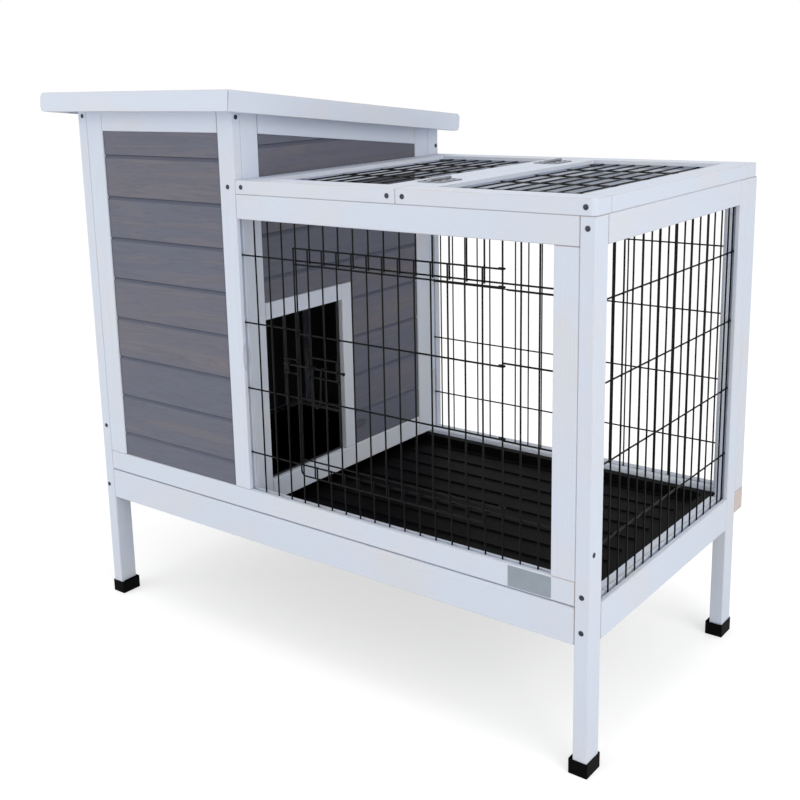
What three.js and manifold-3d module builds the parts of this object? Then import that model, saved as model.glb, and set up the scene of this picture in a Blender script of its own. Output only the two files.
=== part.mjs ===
// Outdoor rabbit run on legs: a closed wooden house with a shiplap front and a hinged roof,
// beside an open wire run with a hinged wire lid, a wire door and a pull-out floor tray.
//
// Millimetres, +Z up. Sizes are worked out in the carpenter's frame: X = 0 at the outer faces
// of the left legs, Y = 0 at the front faces of the front legs, Z = 0 at the floor. The whole
// group is moved at the end so that its origin is the middle of its footprint.

import * as THREE from 'three';
import { mergeVertices } from 'three/addons/utils/BufferGeometryUtils.js';
import Module from 'manifold-3d';

const wasm = await Module();
wasm.setup();

// ---- Driving dimensions -------------------------------------------------------------------

const FIT = 0.3; // clearance between two pieces that meet
const EASE = 1; // chamfer on the long edges of the planed timber

const RUN_LENGTH = 900; // outer faces of the left legs to outer faces of the right legs
const RUN_DEPTH = 474; // front faces of the front legs to back faces of the back legs
const HOUSE_LENGTH = 341; // outer faces of the left legs to the house's inner wall
const LEG_WIDTH = 20; // along X
const LEG_DEPTH = 32; // along Y

const FRAME_THICK = 16; // front, side and inner wall frames
const BACK_THICK = 30; // back frame, fixed behind the back legs
const BOARD_THICK = 9; // shiplap boards
const BOARD_PITCH = 64.7; // height that one board covers
const BOARD_BEVEL = 6; // height of the bevel along each board's top edge
const BOARD_BEVEL_DEPTH = 3;
const BOARD_SETBACK = 2; // boards lie this far behind the face of their frame
const FRONT_FIRST_BOARD = 39; // from the front bottom rail to the lowest seam of the house front
const WALL_FIRST_BOARD = 55; // from the same rail to the lowest seam of the inner wall

const SKIRT_BOTTOM = 175; // underside of the tray front and of the side bottom rails
const SKIRT_HEIGHT = 49.5;
const FRONT_RAIL_GAP = 1.5; // daylight above the tray front
const FRONT_RAIL_HEIGHT = 32;
const BACK_RAIL_HEIGHT = 34;
const WALL_RAIL_HEIGHT = 34; // bottom rail of the inner wall
const RUN_TOP_HEIGHT = 701; // top of the run's frames, where the lids lie
const RUN_TOP_RAIL = 35.5;
const RUN_STILE = 33; // right stile of the run's front
const BACK_STILE = 35; // right stile of the run's back

const LEFT_STILE = 37; // left stile of the house front
const INNER_STILE = 31; // right stile of the house front, and the back post in line with it
const WALL_FRONT_STILE = 35;
const WALL_BACK_STILE = 38;
const HOUSE_TOP_RAIL = 45.5; // height of the house front's top rail at its front face
const ROOF_RAIL = 44; // height of the sloped rails under the roof
const DOORWAY_WIDTH = 178;
const DOORWAY_HEIGHT = 250;
const DOORWAY_TRIM = 28; // jamb width
const DOORWAY_HEADER = 26;

const ROOF_PITCH = THREE.MathUtils.degToRad(6);
const HOUSE_RISE = 130.5; // roof deck's underside above the run's top, at the legs' front faces
const ROOF_DECK = 10;
const ROOF_FRONT_OVERHANG = 42;
const ROOF_BACK_OVERHANG = 14;
const ROOF_SIDE_OVERHANG = 36.5;
const FASCIA_THICK = 12;
const FASCIA_HEIGHT = 29.5;
const FASCIA_LIP = 1.5; // fascia stands this far above the deck
const FASCIA_END_RADIUS = 8;
const ROOF_FELT = 1.5;
const DECK_BOARD = 110; // width of one deck board, about
const DECK_JOINT = 1.5; // V joint between deck boards

const LID_THICK = 20;
const LID_BAR = 38;
const FIXED_LID_LENGTH = 281; // from the house to the joint between the lids
const LID_CORNER_RADIUS = 8;
const LID_MESH_DROP = 7.5; // from the lids' top to the middle of their wires
const LID_CROSS_WIRES = 4;

const WIRE = 2.4; // wire diameter
const WIRE_SIDES = 6;
const WIRE_SINK = 0.5; // depth that crossing wires are welded into each other
const WIRE_PITCH = 25.4;
const FRONT_PITCH = 25.5;
const CROSS_PITCH = 101.6; // between the level wires of side and back
const FRONT_CROSS_PITCH = 99.2; // between the level wires of the front
const FRONT_TOP_MARGIN = 53; // from the front's top rail down to its first level wire
const TOP_MARGIN = 67.5; // the same for side and back
const FRONT_FIRST_WIRE = 25.7; // from the house to the front's first upright
const BACK_FIRST_WIRE = 13.1;
const SIDE_FIRST_WIRE = 8; // from the front leg to the side's first upright
const SIDE_EDGE_WIRE = 4.5; // from the side's last upright to the back leg
const MESH_SEAT = 8; // depth of the groove in the frames that holds the wire ends

const CAP_SPARE_X = 3.9; // open gap in a foot cap on the leg's inner side, along X and Y
const CAP_SPARE_Y = 1.4;
const CAP_HEIGHT = 20.3;
const CAP_SHELL = 0.9; // wall of the foot caps
const CAP_FLOOR = 2;

const TRAY_RIM_DROP = 2.5; // from the top of the side bottom rails down to the tray's rim
const TRAY_DEPTH = 14;
const TRAY_SHEET = 2.5;
const TRAY_BACK_GAP = 8; // from the tray's rim to the back frame
const TRAY_RIB_PITCH = 44;
const TRAY_RIB_TOP = 4.5; // above the underside of the tray
const TRAY_RIB_FOOT = 6; // width of a rib on the floor and at its top
const TRAY_RIB_CREST = 2;
const TRAY_DRAFT = 4; // the basin's walls lean in by this much down to the floor
const TRAY_RADIUS = 14;
const RUNNER_WIDTH = 22;
const RUNNER_LEDGE = 11; // width of the ledge that carries the tray's rim
const RUNNER_HEIGHT = 30;

const HINGE_LENGTH = 50;
const HINGE_LEAF = 20;
const HINGE_SHEET = 1.2;
const HINGE_KNUCKLE = 2.5; // knuckle radius
const HINGE_PIN = 1.3; // pin radius
const HINGE_PLAY = 0.3;
const HINGE_KNUCKLES = 5;
const KNUCKLE_SIDES = 10;
const PIN_SIDES = 8;
const LID_HINGE_INSET = 100; // from either end of the lid joint to the middle of a hinge
const ROOF_HINGE_INSET = 75; // from either side of the house to the middle of a hinge

// ---- Sizes worked out from them -----------------------------------------------------------

const SKIRT_TOP = SKIRT_BOTTOM + SKIRT_HEIGHT;
const FRONT_RAIL_BOTTOM = SKIRT_TOP + FRONT_RAIL_GAP;
const FRONT_RAIL_TOP = FRONT_RAIL_BOTTOM + FRONT_RAIL_HEIGHT;
const BACK_RAIL_TOP = FRONT_RAIL_BOTTOM;
const RUN_TOP_BOTTOM = RUN_TOP_HEIGHT - RUN_TOP_RAIL;
const BACK_FACE = RUN_DEPTH + BACK_THICK;
const RIGHT_INNER = RUN_LENGTH - LEG_WIDTH;
const RIGHT_STILE_LEFT = RIGHT_INNER - RUN_STILE;
const SIDE_FRAME = [RUN_LENGTH - FRAME_THICK, RUN_LENGTH];
const BETWEEN_LEGS = [LEG_DEPTH, RUN_DEPTH - LEG_DEPTH];
const WALL = [HOUSE_LENGTH - FRAME_THICK, HOUSE_LENGTH];
const WALL_INNER = [FRAME_THICK + WALL_FRONT_STILE, RUN_DEPTH - WALL_BACK_STILE];
const LID_TOP = RUN_TOP_HEIGHT + LID_THICK;
const LID_JOINT = HOUSE_LENGTH + FIXED_LID_LENGTH;
const TRAY_RIM_TOP = SKIRT_TOP - TRAY_RIM_DROP;
const ROOF_HEIGHT = RUN_TOP_HEIGHT + HOUSE_RISE;
const HOUSE_TOP_RAIL_BOTTOM = ROOF_HEIGHT - HOUSE_TOP_RAIL;
const SLOPE = Math.tan(ROOF_PITCH);
const roofUnderside = (y) => ROOF_HEIGHT - SLOPE * y;

// ---- Materials ----------------------------------------------------------------------------

const material = (colour, roughness, metalness = 0) =>
  new THREE.MeshStandardMaterial({ color: colour, roughness, metalness });

const whitewash = material(0xd6dde6, 0.75);
const greyStain = material(0x6a6972, 0.8);
const blackWire = material(0x17171a, 0.4, 0.6);
const blackPlastic = material(0x1b1b1e, 0.5);
const roofFelt = material(0x3a3b3d, 0.95);
const zinc = material(0xb9bcc0, 0.35, 0.9);

// ---- Solids: cutting and joining ----------------------------------------------------------

function toSolid(geometry) {
  const bare = geometry.clone();
  bare.deleteAttribute('normal');
  bare.deleteAttribute('uv');
  const closed = mergeVertices(bare);
  return new wasm.Manifold(new wasm.Mesh({
    numProp: 3,
    vertProperties: closed.attributes.position.array,
    triVerts: new Uint32Array(closed.index.array),
  }));
}

function toGeometry(solid) {
  const mesh = solid.getMesh();
  const geometry = new THREE.BufferGeometry();
  geometry.setAttribute('position', new THREE.BufferAttribute(mesh.vertProperties, 3));
  geometry.setIndex(new THREE.BufferAttribute(mesh.triVerts, 1));
  geometry.computeVertexNormals();
  return geometry;
}

function join(geometries) {
  return toGeometry(geometries.map(toSolid).reduce((whole, part) => whole.add(part)));
}

function cut(geometry, ...cutters) {
  const whole = toSolid(geometry);
  return toGeometry(cutters.map(toSolid).reduce((left, tool) => left.subtract(tool), whole));
}

// ---- Forms that repeat --------------------------------------------------------------------

const UNIT = {
  x: new THREE.Vector3(1, 0, 0),
  y: new THREE.Vector3(0, 1, 0),
  z: new THREE.Vector3(0, 0, 1),
};
const SECTION_AXES = { x: ['y', 'z'], y: ['z', 'x'], z: ['x', 'y'] };

// A section drawn in two axes and run from one end to the other along the third.
function run(section, along, from, to) {
  const [u, v] = SECTION_AXES[along];
  const geometry = new THREE.ExtrudeGeometry(section, {
    depth: to - from,
    bevelEnabled: false,
    curveSegments: 4,
  });
  geometry.applyMatrix4(new THREE.Matrix4().makeBasis(UNIT[u], UNIT[v], UNIT[along]));
  const shift = UNIT[along].clone().multiplyScalar(from);
  return geometry.translate(shift.x, shift.y, shift.z);
}

function polygon(points) {
  return new THREE.Shape(points.map(([u, v]) => new THREE.Vector2(u, v)));
}

function easedRectangle([u0, u1], [v0, v1], ease = EASE) {
  return polygon([
    [u0 + ease, v0], [u1 - ease, v0], [u1, v0 + ease], [u1, v1 - ease],
    [u1 - ease, v1], [u0 + ease, v1], [u0, v1 - ease], [u0, v0 + ease],
  ]);
}

// Half the clearance comes off each side of a piece, so that neighbours lie FIT apart.
const fitted = ([low, high]) => [low + FIT / 2, high - FIT / 2];

// Planed timber with eased long edges, in the space between three pairs of planes.
function batten(along, x, y, z) {
  const span = { x: fitted(x), y: fitted(y), z: fitted(z) };
  const [u, v] = SECTION_AXES[along];
  return run(easedRectangle(span[u], span[v]), along, ...span[along]);
}

function block(x, y, z) {
  const size = [x, y, z].map(([low, high]) => high - low);
  const centre = [x, y, z].map(([low, high]) => (low + high) / 2);
  return new THREE.BoxGeometry(...size).translate(...centre);
}

// Leans a piece that was made level so that it follows the slope of the roof.
function sloped(geometry) {
  return geometry.applyMatrix4(new THREE.Matrix4().makeShear(0, 0, 0, -SLOPE, 0, 0));
}

// The space that the roof takes up above the house, which ends the stiles and posts below it.
function underRoof(geometry) {
  const roofSpace = sloped(block(
    [-RUN_LENGTH, 2 * RUN_LENGTH],
    [-RUN_DEPTH, 2 * RUN_DEPTH],
    [ROOF_HEIGHT - FIT / 2, ROOF_HEIGHT + RUN_DEPTH],
  ));
  return cut(geometry, roofSpace);
}

// Shiplap boards as one nailed-up panel: flat at the back, each board bevelled along its top.
// 'face' is the outer face, 'inward' the direction into the house, 'seam' one seam's height.
function shiplapSection(face, inward, bottom, top, seam) {
  const outline = [];
  const bevelDepth = face + inward * BOARD_BEVEL_DEPTH;
  const first = seam - BOARD_PITCH * Math.floor((seam - bottom) / BOARD_PITCH);
  outline.push([face, bottom]);
  for (let z = first; z < top; z += BOARD_PITCH) {
    if (z - BOARD_BEVEL > bottom) {
      outline.push([face, z - BOARD_BEVEL], [bevelDepth, z], [face, z]);
    }
  }
  outline.push([face, top]);
  outline.push([face + inward * BOARD_THICK, top]);
  outline.push([face + inward * BOARD_THICK, bottom]);
  return outline;
}

function wire(along, from, to, { x = 0, y = 0, z = 0 }, diameter = WIRE) {
  const geometry = new THREE.CylinderGeometry(diameter / 2, diameter / 2, to - from, WIRE_SIDES);
  if (along === 'x') {
    geometry.rotateZ(-Math.PI / 2);
  }
  if (along === 'z') {
    geometry.rotateX(Math.PI / 2);
  }
  const middle = (from + to) / 2;
  return geometry.translate(
    along === 'x' ? middle : x,
    along === 'y' ? middle : y,
    along === 'z' ? middle : z,
  );
}

// A wire bent along a curve through the given points.
function bentWire(points, steps, diameter = WIRE) {
  const section = polygon(count(WIRE_SIDES).map((side) => {
    const angle = (2 * Math.PI * side) / WIRE_SIDES;
    return [(diameter / 2) * Math.cos(angle), (diameter / 2) * Math.sin(angle)];
  }));
  const path = new THREE.CatmullRomCurve3(points.map((point) => new THREE.Vector3(...point)));
  return new THREE.ExtrudeGeometry(section, { steps, extrudePath: path, bevelEnabled: false });
}

const count = (n) => Array.from({ length: n }, (_, index) => index);

// ---- The assembly -------------------------------------------------------------------------

const hutch = new THREE.Group();

// Puts a geometry that was worked out in its group's frame on a mesh at its own middle.
function add(name, finish, geometry, group = hutch) {
  geometry.computeBoundingBox();
  const middle = geometry.boundingBox.getCenter(new THREE.Vector3());
  geometry.translate(-middle.x, -middle.y, -middle.z);
  const mesh = new THREE.Mesh(geometry, finish);
  mesh.name = name;
  mesh.position.copy(middle);
  group.add(mesh);
  return mesh;
}

// ---- Wire panels: places of the wires -----------------------------------------------------

// Crossing wires touch in two layers, sunk into each other a little by the weld.
const LAYER = WIRE - WIRE_SINK;
const SEATED = MESH_SEAT - FIT;

// How many whole pitches go between two places, and the places that they mark.
const spacesIn = (first, last, pitch) => Math.floor((last - first) / pitch);
const pitched = (first, last, pitch) => (
  count(spacesIn(first, last, pitch) + 1).map((index) => first + pitch * index)
);

// The groove round a frame's inside edges that takes the wire ends of both layers.
function meshGroove(x, y, z, through, outerLayer, innerLayer) {
  const space = { x, y, z };
  for (const axis of ['x', 'y', 'z']) {
    if (axis !== through) {
      space[axis] = [space[axis][0] - MESH_SEAT, space[axis][1] + MESH_SEAT];
    }
  }
  const half = WIRE / 2 + FIT;
  const layers = [outerLayer, innerLayer].sort((a, b) => a - b);
  space[through] = [layers[0] - half, layers[1] + half];
  return block(space.x, space.y, space.z);
}

const FRONT_MESH = {
  x: [HOUSE_LENGTH, RIGHT_STILE_LEFT],
  z: [FRONT_RAIL_TOP, RUN_TOP_BOTTOM],
  upright: FRAME_THICK / 2, // Y of the upright wires
  level: FRAME_THICK / 2 + LAYER, // Y of the level wires behind them
  first: HOUSE_LENGTH + FRONT_FIRST_WIRE,
  top: RUN_TOP_BOTTOM - FRONT_TOP_MARGIN,
};
const frontWireX = (index) => FRONT_MESH.first + FRONT_PITCH * index;
const frontWireZ = (index) => FRONT_MESH.top - FRONT_CROSS_PITCH * index;
const FRONT_UPRIGHTS = spacesIn(FRONT_MESH.first, RIGHT_STILE_LEFT, FRONT_PITCH) + 1;
const FRONT_LAST_LEVEL = spacesIn(FRONT_RAIL_TOP, FRONT_MESH.top, FRONT_CROSS_PITCH);
const frontGroove = () => meshGroove(
  FRONT_MESH.x, [0, FRAME_THICK], FRONT_MESH.z, 'y', FRONT_MESH.upright, FRONT_MESH.level,
);

const SIDE_MESH = {
  y: BETWEEN_LEGS,
  z: [SKIRT_TOP, RUN_TOP_BOTTOM],
  upright: RUN_LENGTH - FRAME_THICK / 2,
  level: RUN_LENGTH - FRAME_THICK / 2 - LAYER,
  first: LEG_DEPTH + SIDE_FIRST_WIRE,
  edge: RUN_DEPTH - LEG_DEPTH - SIDE_EDGE_WIRE, // the panel's own edge, beside the back leg
};
const sideGroove = () => meshGroove(
  [0, RUN_LENGTH], SIDE_MESH.y, SIDE_MESH.z, 'x', SIDE_MESH.upright, SIDE_MESH.level,
);

const BACK_MESH = {
  x: [HOUSE_LENGTH, RUN_LENGTH - BACK_STILE],
  z: [BACK_RAIL_TOP, RUN_TOP_BOTTOM],
  upright: RUN_DEPTH + BACK_THICK / 2,
  level: RUN_DEPTH + BACK_THICK / 2 - LAYER,
  first: HOUSE_LENGTH + BACK_FIRST_WIRE,
};
const backGroove = () => meshGroove(
  BACK_MESH.x, [RUN_DEPTH, BACK_FACE], BACK_MESH.z, 'y', BACK_MESH.upright, BACK_MESH.level,
);

// ---- Legs and foot caps -------------------------------------------------------------------

// Open square cups of thin black plastic. A cup is wider than its leg, which stands in the
// cup's outer corner, so a narrow gap stays open on the leg's inner side.
function footCap(legX, legY, innerX, innerY) {
  const play = CAP_SHELL + FIT;
  const spare = (inner, gap) => (inner > 0 ? [0, gap] : [gap, 0]);
  const [lessX, moreX] = spare(innerX, CAP_SPARE_X);
  const [lessY, moreY] = spare(innerY, CAP_SPARE_Y);
  const outerX = [legX - play - lessX, legX + LEG_WIDTH + play + moreX];
  const outerY = [legY - play - lessY, legY + LEG_DEPTH + play + moreY];
  const cup = run(easedRectangle(outerX, outerY, CAP_SHELL), 'z', 0, CAP_HEIGHT);
  const hollow = block(
    [outerX[0] + CAP_SHELL, outerX[1] - CAP_SHELL],
    [outerY[0] + CAP_SHELL, outerY[1] - CAP_SHELL],
    [CAP_FLOOR, 2 * CAP_HEIGHT],
  );
  return cut(cup, hollow);
}

function leg(legX, legY, top) {
  return batten(
    'z', [legX, legX + LEG_WIDTH], [legY, legY + LEG_DEPTH], [CAP_FLOOR + FIT / 2, top],
  );
}

const BACK_LEG_Y = RUN_DEPTH - LEG_DEPTH;
const TALL = ROOF_HEIGHT + LEG_DEPTH; // longer than needed, ended by the roof

add('leg_front_left', whitewash, underRoof(leg(0, 0, TALL)));
add('leg_back_left', whitewash, underRoof(leg(0, BACK_LEG_Y, TALL)));
add('leg_front_right', whitewash, cut(leg(RIGHT_INNER, 0, RUN_TOP_HEIGHT), sideGroove()));
add('leg_back_right', whitewash, cut(leg(RIGHT_INNER, BACK_LEG_Y, RUN_TOP_HEIGHT), sideGroove()));
add('foot_cap_front_left', blackPlastic, footCap(0, 0, 1, 1));
add('foot_cap_back_left', blackPlastic, footCap(0, BACK_LEG_Y, 1, -1));
add('foot_cap_front_right', blackPlastic, footCap(RIGHT_INNER, 0, -1, 1));
add('foot_cap_back_right', blackPlastic, footCap(RIGHT_INNER, BACK_LEG_Y, -1, -1));

// ---- House front --------------------------------------------------------------------------

const FRONT = [0, FRAME_THICK];
const FRONT_BOARDS_X = [LEG_WIDTH + LEFT_STILE, HOUSE_LENGTH - INNER_STILE];

add('front_bottom_rail', whitewash, cut(
  batten('x', [LEG_WIDTH, RIGHT_INNER], FRONT, [FRONT_RAIL_BOTTOM, FRONT_RAIL_TOP]), frontGroove(),
));
add('house_front_left_stile', whitewash, underRoof(
  batten('z', [LEG_WIDTH, FRONT_BOARDS_X[0]], FRONT, [FRONT_RAIL_TOP, TALL]),
));
add('house_front_right_stile', whitewash, cut(
  underRoof(batten('z', [FRONT_BOARDS_X[1], HOUSE_LENGTH], FRONT, [FRONT_RAIL_TOP, TALL])),
  frontGroove(),
));
add('house_front_top_rail', whitewash, underRoof(
  batten('x', FRONT_BOARDS_X, FRONT, [HOUSE_TOP_RAIL_BOTTOM, TALL]),
));

const FRONT_SEAM = FRONT_RAIL_TOP + FRONT_FIRST_BOARD;
const frontBoardsZ = fitted([FRONT_RAIL_TOP, HOUSE_TOP_RAIL_BOTTOM]);
add('house_front_boards', greyStain, run(
  polygon(shiplapSection(BOARD_SETBACK, 1, ...frontBoardsZ, FRONT_SEAM)),
  'x', ...fitted(FRONT_BOARDS_X),
));

// ---- Inner wall of the house, with the doorway into the run -------------------------------

const WALL_RAIL_BOTTOM = FRONT_RAIL_TOP - WALL_RAIL_HEIGHT;
const DOORWAY_Y = [WALL_INNER[0], WALL_INNER[0] + DOORWAY_WIDTH];
const JAMB_Y = [DOORWAY_Y[1], DOORWAY_Y[1] + DOORWAY_TRIM];
const DOORWAY_TOP = FRONT_RAIL_TOP + DOORWAY_HEIGHT;
const HEADER_TOP = DOORWAY_TOP + DOORWAY_HEADER;

add('wall_front_stile', whitewash, underRoof(
  batten('z', WALL, [FRAME_THICK, WALL_INNER[0]], [WALL_RAIL_BOTTOM, TALL]),
));
add('wall_back_stile', whitewash, underRoof(
  batten('z', WALL, [WALL_INNER[1], RUN_DEPTH], [WALL_RAIL_BOTTOM, TALL]),
));
add('wall_top_rail', whitewash, sloped(
  batten('y', WALL, WALL_INNER, [ROOF_HEIGHT - ROOF_RAIL, ROOF_HEIGHT]),
));
add('wall_bottom_rail', whitewash, batten(
  'y', WALL, WALL_INNER, [WALL_RAIL_BOTTOM, FRONT_RAIL_TOP],
));
add('doorway_jamb', whitewash, batten('z', WALL, JAMB_Y, [FRONT_RAIL_TOP, HEADER_TOP]));
add('doorway_header', whitewash, batten('y', WALL, DOORWAY_Y, [DOORWAY_TOP, HEADER_TOP]));

// Boards between the two sloped frames' stiles, ended by the sloped rail above them.
function sideBoards(face, inward, y, bottom, seam) {
  const section = shiplapSection(face, inward, bottom, TALL, seam).map(([x, z]) => [z, x]);
  const railSpace = sloped(block(
    [-RUN_LENGTH, 2 * RUN_LENGTH],
    [-RUN_DEPTH, 2 * RUN_DEPTH],
    [ROOF_HEIGHT - ROOF_RAIL - FIT / 2, ROOF_HEIGHT + RUN_DEPTH],
  ));
  return cut(run(polygon(inward > 0 ? section : section.reverse()), 'y', ...fitted(y)), railSpace);
}

const WALL_SEAM = FRONT_RAIL_TOP + WALL_FIRST_BOARD;
const doorwayCut = block(
  [0, RUN_LENGTH],
  [DOORWAY_Y[0] - FRAME_THICK, JAMB_Y[1] + FIT / 2],
  [0, HEADER_TOP + FIT / 2],
);
add('wall_boards', greyStain, cut(
  sideBoards(HOUSE_LENGTH - BOARD_SETBACK, -1, WALL_INNER, FRONT_RAIL_TOP + FIT / 2, WALL_SEAM),
  doorwayCut,
));

// ---- Left wall of the house ---------------------------------------------------------------

const LEFT_WALL = [0, FRAME_THICK];

add('left_wall_top_rail', whitewash, sloped(
  batten('y', LEFT_WALL, BETWEEN_LEGS, [ROOF_HEIGHT - ROOF_RAIL, ROOF_HEIGHT]),
));
add('left_wall_bottom_rail', whitewash, batten(
  'y', LEFT_WALL, BETWEEN_LEGS, [SKIRT_BOTTOM, SKIRT_TOP],
));
add('left_wall_boards', greyStain,
  sideBoards(BOARD_SETBACK, 1, BETWEEN_LEGS, SKIRT_TOP + FIT / 2, WALL_SEAM));

// ---- Back frame, behind the back legs -----------------------------------------------------

const BACK = [RUN_DEPTH, BACK_FACE];
const BACK_BOARDS_X = [BACK_STILE, HOUSE_LENGTH - INNER_STILE];
const BACK_RAIL_BOTTOM = BACK_RAIL_TOP - BACK_RAIL_HEIGHT;
const BACK_TOP_RAIL_BOTTOM = roofUnderside(RUN_DEPTH) - ROOF_RAIL;

add('back_bottom_rail', whitewash, cut(
  batten('x', [0, RUN_LENGTH], BACK, [BACK_RAIL_BOTTOM, BACK_RAIL_TOP]), backGroove(),
));
add('back_left_stile', whitewash, underRoof(
  batten('z', [0, BACK_STILE], BACK, [BACK_RAIL_TOP, TALL]),
));
add('back_middle_stile', whitewash, cut(
  underRoof(batten('z', [BACK_BOARDS_X[1], HOUSE_LENGTH], BACK, [BACK_RAIL_TOP, TALL])),
  backGroove(),
));
add('back_right_stile', whitewash, cut(
  batten('z', [BACK_MESH.x[1], RUN_LENGTH], BACK, [BACK_RAIL_TOP, RUN_TOP_HEIGHT]), backGroove(),
));
add('run_back_top_rail', whitewash, cut(
  batten('x', BACK_MESH.x, BACK, [RUN_TOP_BOTTOM, RUN_TOP_HEIGHT]), backGroove(),
));
add('house_back_boards', greyStain, run(
  polygon(shiplapSection(
    BACK_FACE - BOARD_SETBACK, -1, ...fitted([BACK_RAIL_TOP, BACK_TOP_RAIL_BOTTOM]), WALL_SEAM,
  ).reverse()),
  'x', ...fitted(BACK_BOARDS_X),
));

// ---- Run: front, side and back wire panels ------------------------------------------------

add('run_front_top_rail', whitewash, cut(
  batten('x', [HOUSE_LENGTH, RIGHT_INNER], FRONT, [RUN_TOP_BOTTOM, RUN_TOP_HEIGHT]), frontGroove(),
));
add('run_front_right_stile', whitewash, cut(
  batten('z', [RIGHT_STILE_LEFT, RIGHT_INNER], FRONT, [FRONT_RAIL_TOP, RUN_TOP_BOTTOM]),
  frontGroove(),
));
add('run_side_top_rail', whitewash, cut(
  batten('y', SIDE_FRAME, BETWEEN_LEGS, [RUN_TOP_BOTTOM, RUN_TOP_HEIGHT]), sideGroove(),
));
add('run_side_bottom_rail', whitewash, cut(
  batten('y', SIDE_FRAME, BETWEEN_LEGS, [SKIRT_BOTTOM, SKIRT_TOP]), sideGroove(),
));

// A plain welded panel in a frame's opening: uprights at the given places along it, level
// wires behind them.
function uprightPanel(along, opening, places) {
  const [bottom, top] = opening.z;
  const wires = places.map((place) => wire('z', bottom - SEATED, top + SEATED, {
    x: along === 'x' ? place : opening.upright,
    y: along === 'y' ? place : opening.upright,
  }));
  const [from, to] = opening[along];
  const first = top - TOP_MARGIN;
  for (const index of count(spacesIn(bottom, first, CROSS_PITCH) + 1)) {
    wires.push(wire(along, from - SEATED, to + SEATED, {
      x: opening.level,
      y: opening.level,
      z: first - CROSS_PITCH * index,
    }));
  }
  return join(wires);
}

const sidePlaces = pitched(SIDE_MESH.first, SIDE_MESH.edge - WIRE, WIRE_PITCH);
const backPlaces = pitched(BACK_MESH.first, BACK_MESH.x[1] - WIRE, WIRE_PITCH);
add('side_grille', blackWire, uprightPanel('y', SIDE_MESH, [...sidePlaces, SIDE_MESH.edge]));
add('back_grille', blackWire, uprightPanel('x', BACK_MESH, backPlaces));

// ---- Wire door in the run's front ---------------------------------------------------------

// The panel's uprights are cut out between its top and bottom level wires. The door hangs on
// the upright right of the cut, by eyes bent from its own level wires, and covers the edges
// of the cut from outside.
const DOOR_LEFT_WIRE = 3; // the door's free side lies over this upright
const DOOR_HINGE_WIRE = FRONT_UPRIGHTS - 3; // the door hangs on this upright
const DOOR_AXIS_X = frontWireX(DOOR_HINGE_WIRE);
const DOOR_LEFT_X = frontWireX(DOOR_LEFT_WIRE);
const EYE_PLAY = 0.35; // clearance of an eye round the hinge wire
const DOOR_EYE = WIRE + EYE_PLAY; // from the middle of the hinge wire to the middle of the eye's
const DOOR_LEVEL_Y = FRONT_MESH.upright - DOOR_EYE;
const DOOR_UPRIGHT_Y = DOOR_LEVEL_Y - LAYER;
const DOOR_TOP_RISE = 18; // from the panel's top level wire up to the door's top wire
const DOOR_BOTTOM_DROP = 13; // from the panel's bottom level wire down to the door's bottom wire
const DOOR_TOP = frontWireZ(0) + DOOR_TOP_RISE;
const DOOR_BOTTOM = frontWireZ(FRONT_LAST_LEVEL) - DOOR_BOTTOM_DROP;
const DOOR_CORNER = 8; // bend of the door's frame wire at its lower free corner
const DOOR_SECOND_DROP = 4.5; // from the panel's top level wire down to the door's second
const DOOR_THIRD_DROP = 3.3; // the same for the wires between its second and its last but one
const DOOR_LAST_RISE = 11; // from the panel's bottom level wire up to the door's last eye
// Below the top wire, the door's level wires lie beside the panel's own, so that their eyes
// pass them. The eye above the panel's last but one level wire rests on it and carries the door.
const DOOR_LEVELS = [
  DOOR_TOP,
  frontWireZ(0) - DOOR_SECOND_DROP,
  ...count(FRONT_LAST_LEVEL - 2).map((index) => frontWireZ(index + 1) - DOOR_THIRD_DROP),
  frontWireZ(FRONT_LAST_LEVEL - 1) + WIRE + FIT,
  frontWireZ(FRONT_LAST_LEVEL) + DOOR_LAST_RISE,
];
const EYE_TAIL = 7; // straight end of each eye behind the hinge wire
const STAY_DROP = 7.5; // a short second wire below the panel's top level wire, beside the hinge

// Latch: a sliding wire bolt in two staples on the door, and a staple on the panel.
const BOLT_RADIUS = 1.5;
const BALL_RADIUS = 2.4; // on the bolt's free end
const BOLT_DROP = 48.3; // from the panel's second level wire down to the bolt
const BOLT_OVERHANG = 10; // of the bolt past its second staple
const BOLT_Z = frontWireZ(1) - BOLT_DROP;
const BOLT_Y = DOOR_UPRIGHT_Y - WIRE / 2 - FIT - BOLT_RADIUS;
const BOLT_TIP_X = frontWireX(DOOR_LEFT_WIRE + 3) + BOLT_OVERHANG;
const STAPLE_Y = BOLT_Y - BOLT_RADIUS - FIT - WIRE / 2; // front of a staple's bridge
const STAPLE_SHOULDER = 4; // height over which a staple's bridge bends to its arms
const KEEPER_ARMS = [-14, 6]; // arms of the staple on the panel, from the bolt
const GUIDE_ARMS = [-13, 15]; // arms of the staples on the door
const KEEPER_Z = KEEPER_ARMS.map((rise) => BOLT_Z + rise);
const GUIDE_Z = GUIDE_ARMS.map((rise) => BOLT_Z + rise);
const PULL_WIRE = 2;
const PULL_INSETS = [54, 39]; // from the bolt's tip back to the two legs of the finger pull
const PULL_X = PULL_INSETS.map((inset) => BOLT_TIP_X - inset);
const PULL_DROP = 56; // from the bolt down to the bottom of the pull

// A staple's upright bridge, bowed out over the bolt from one arm to the other.
function stapleBridge(x, armY, [bottom, top]) {
  const half = (armY + STAPLE_Y) / 2;
  const corners = [
    [x, armY, top],
    [x, half, top - STAPLE_SHOULDER / 4],
    [x, STAPLE_Y, top - STAPLE_SHOULDER],
    [x, STAPLE_Y, bottom + STAPLE_SHOULDER],
    [x, half, bottom + STAPLE_SHOULDER / 4],
    [x, armY, bottom],
  ];
  return bentWire(corners, 8);
}

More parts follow.
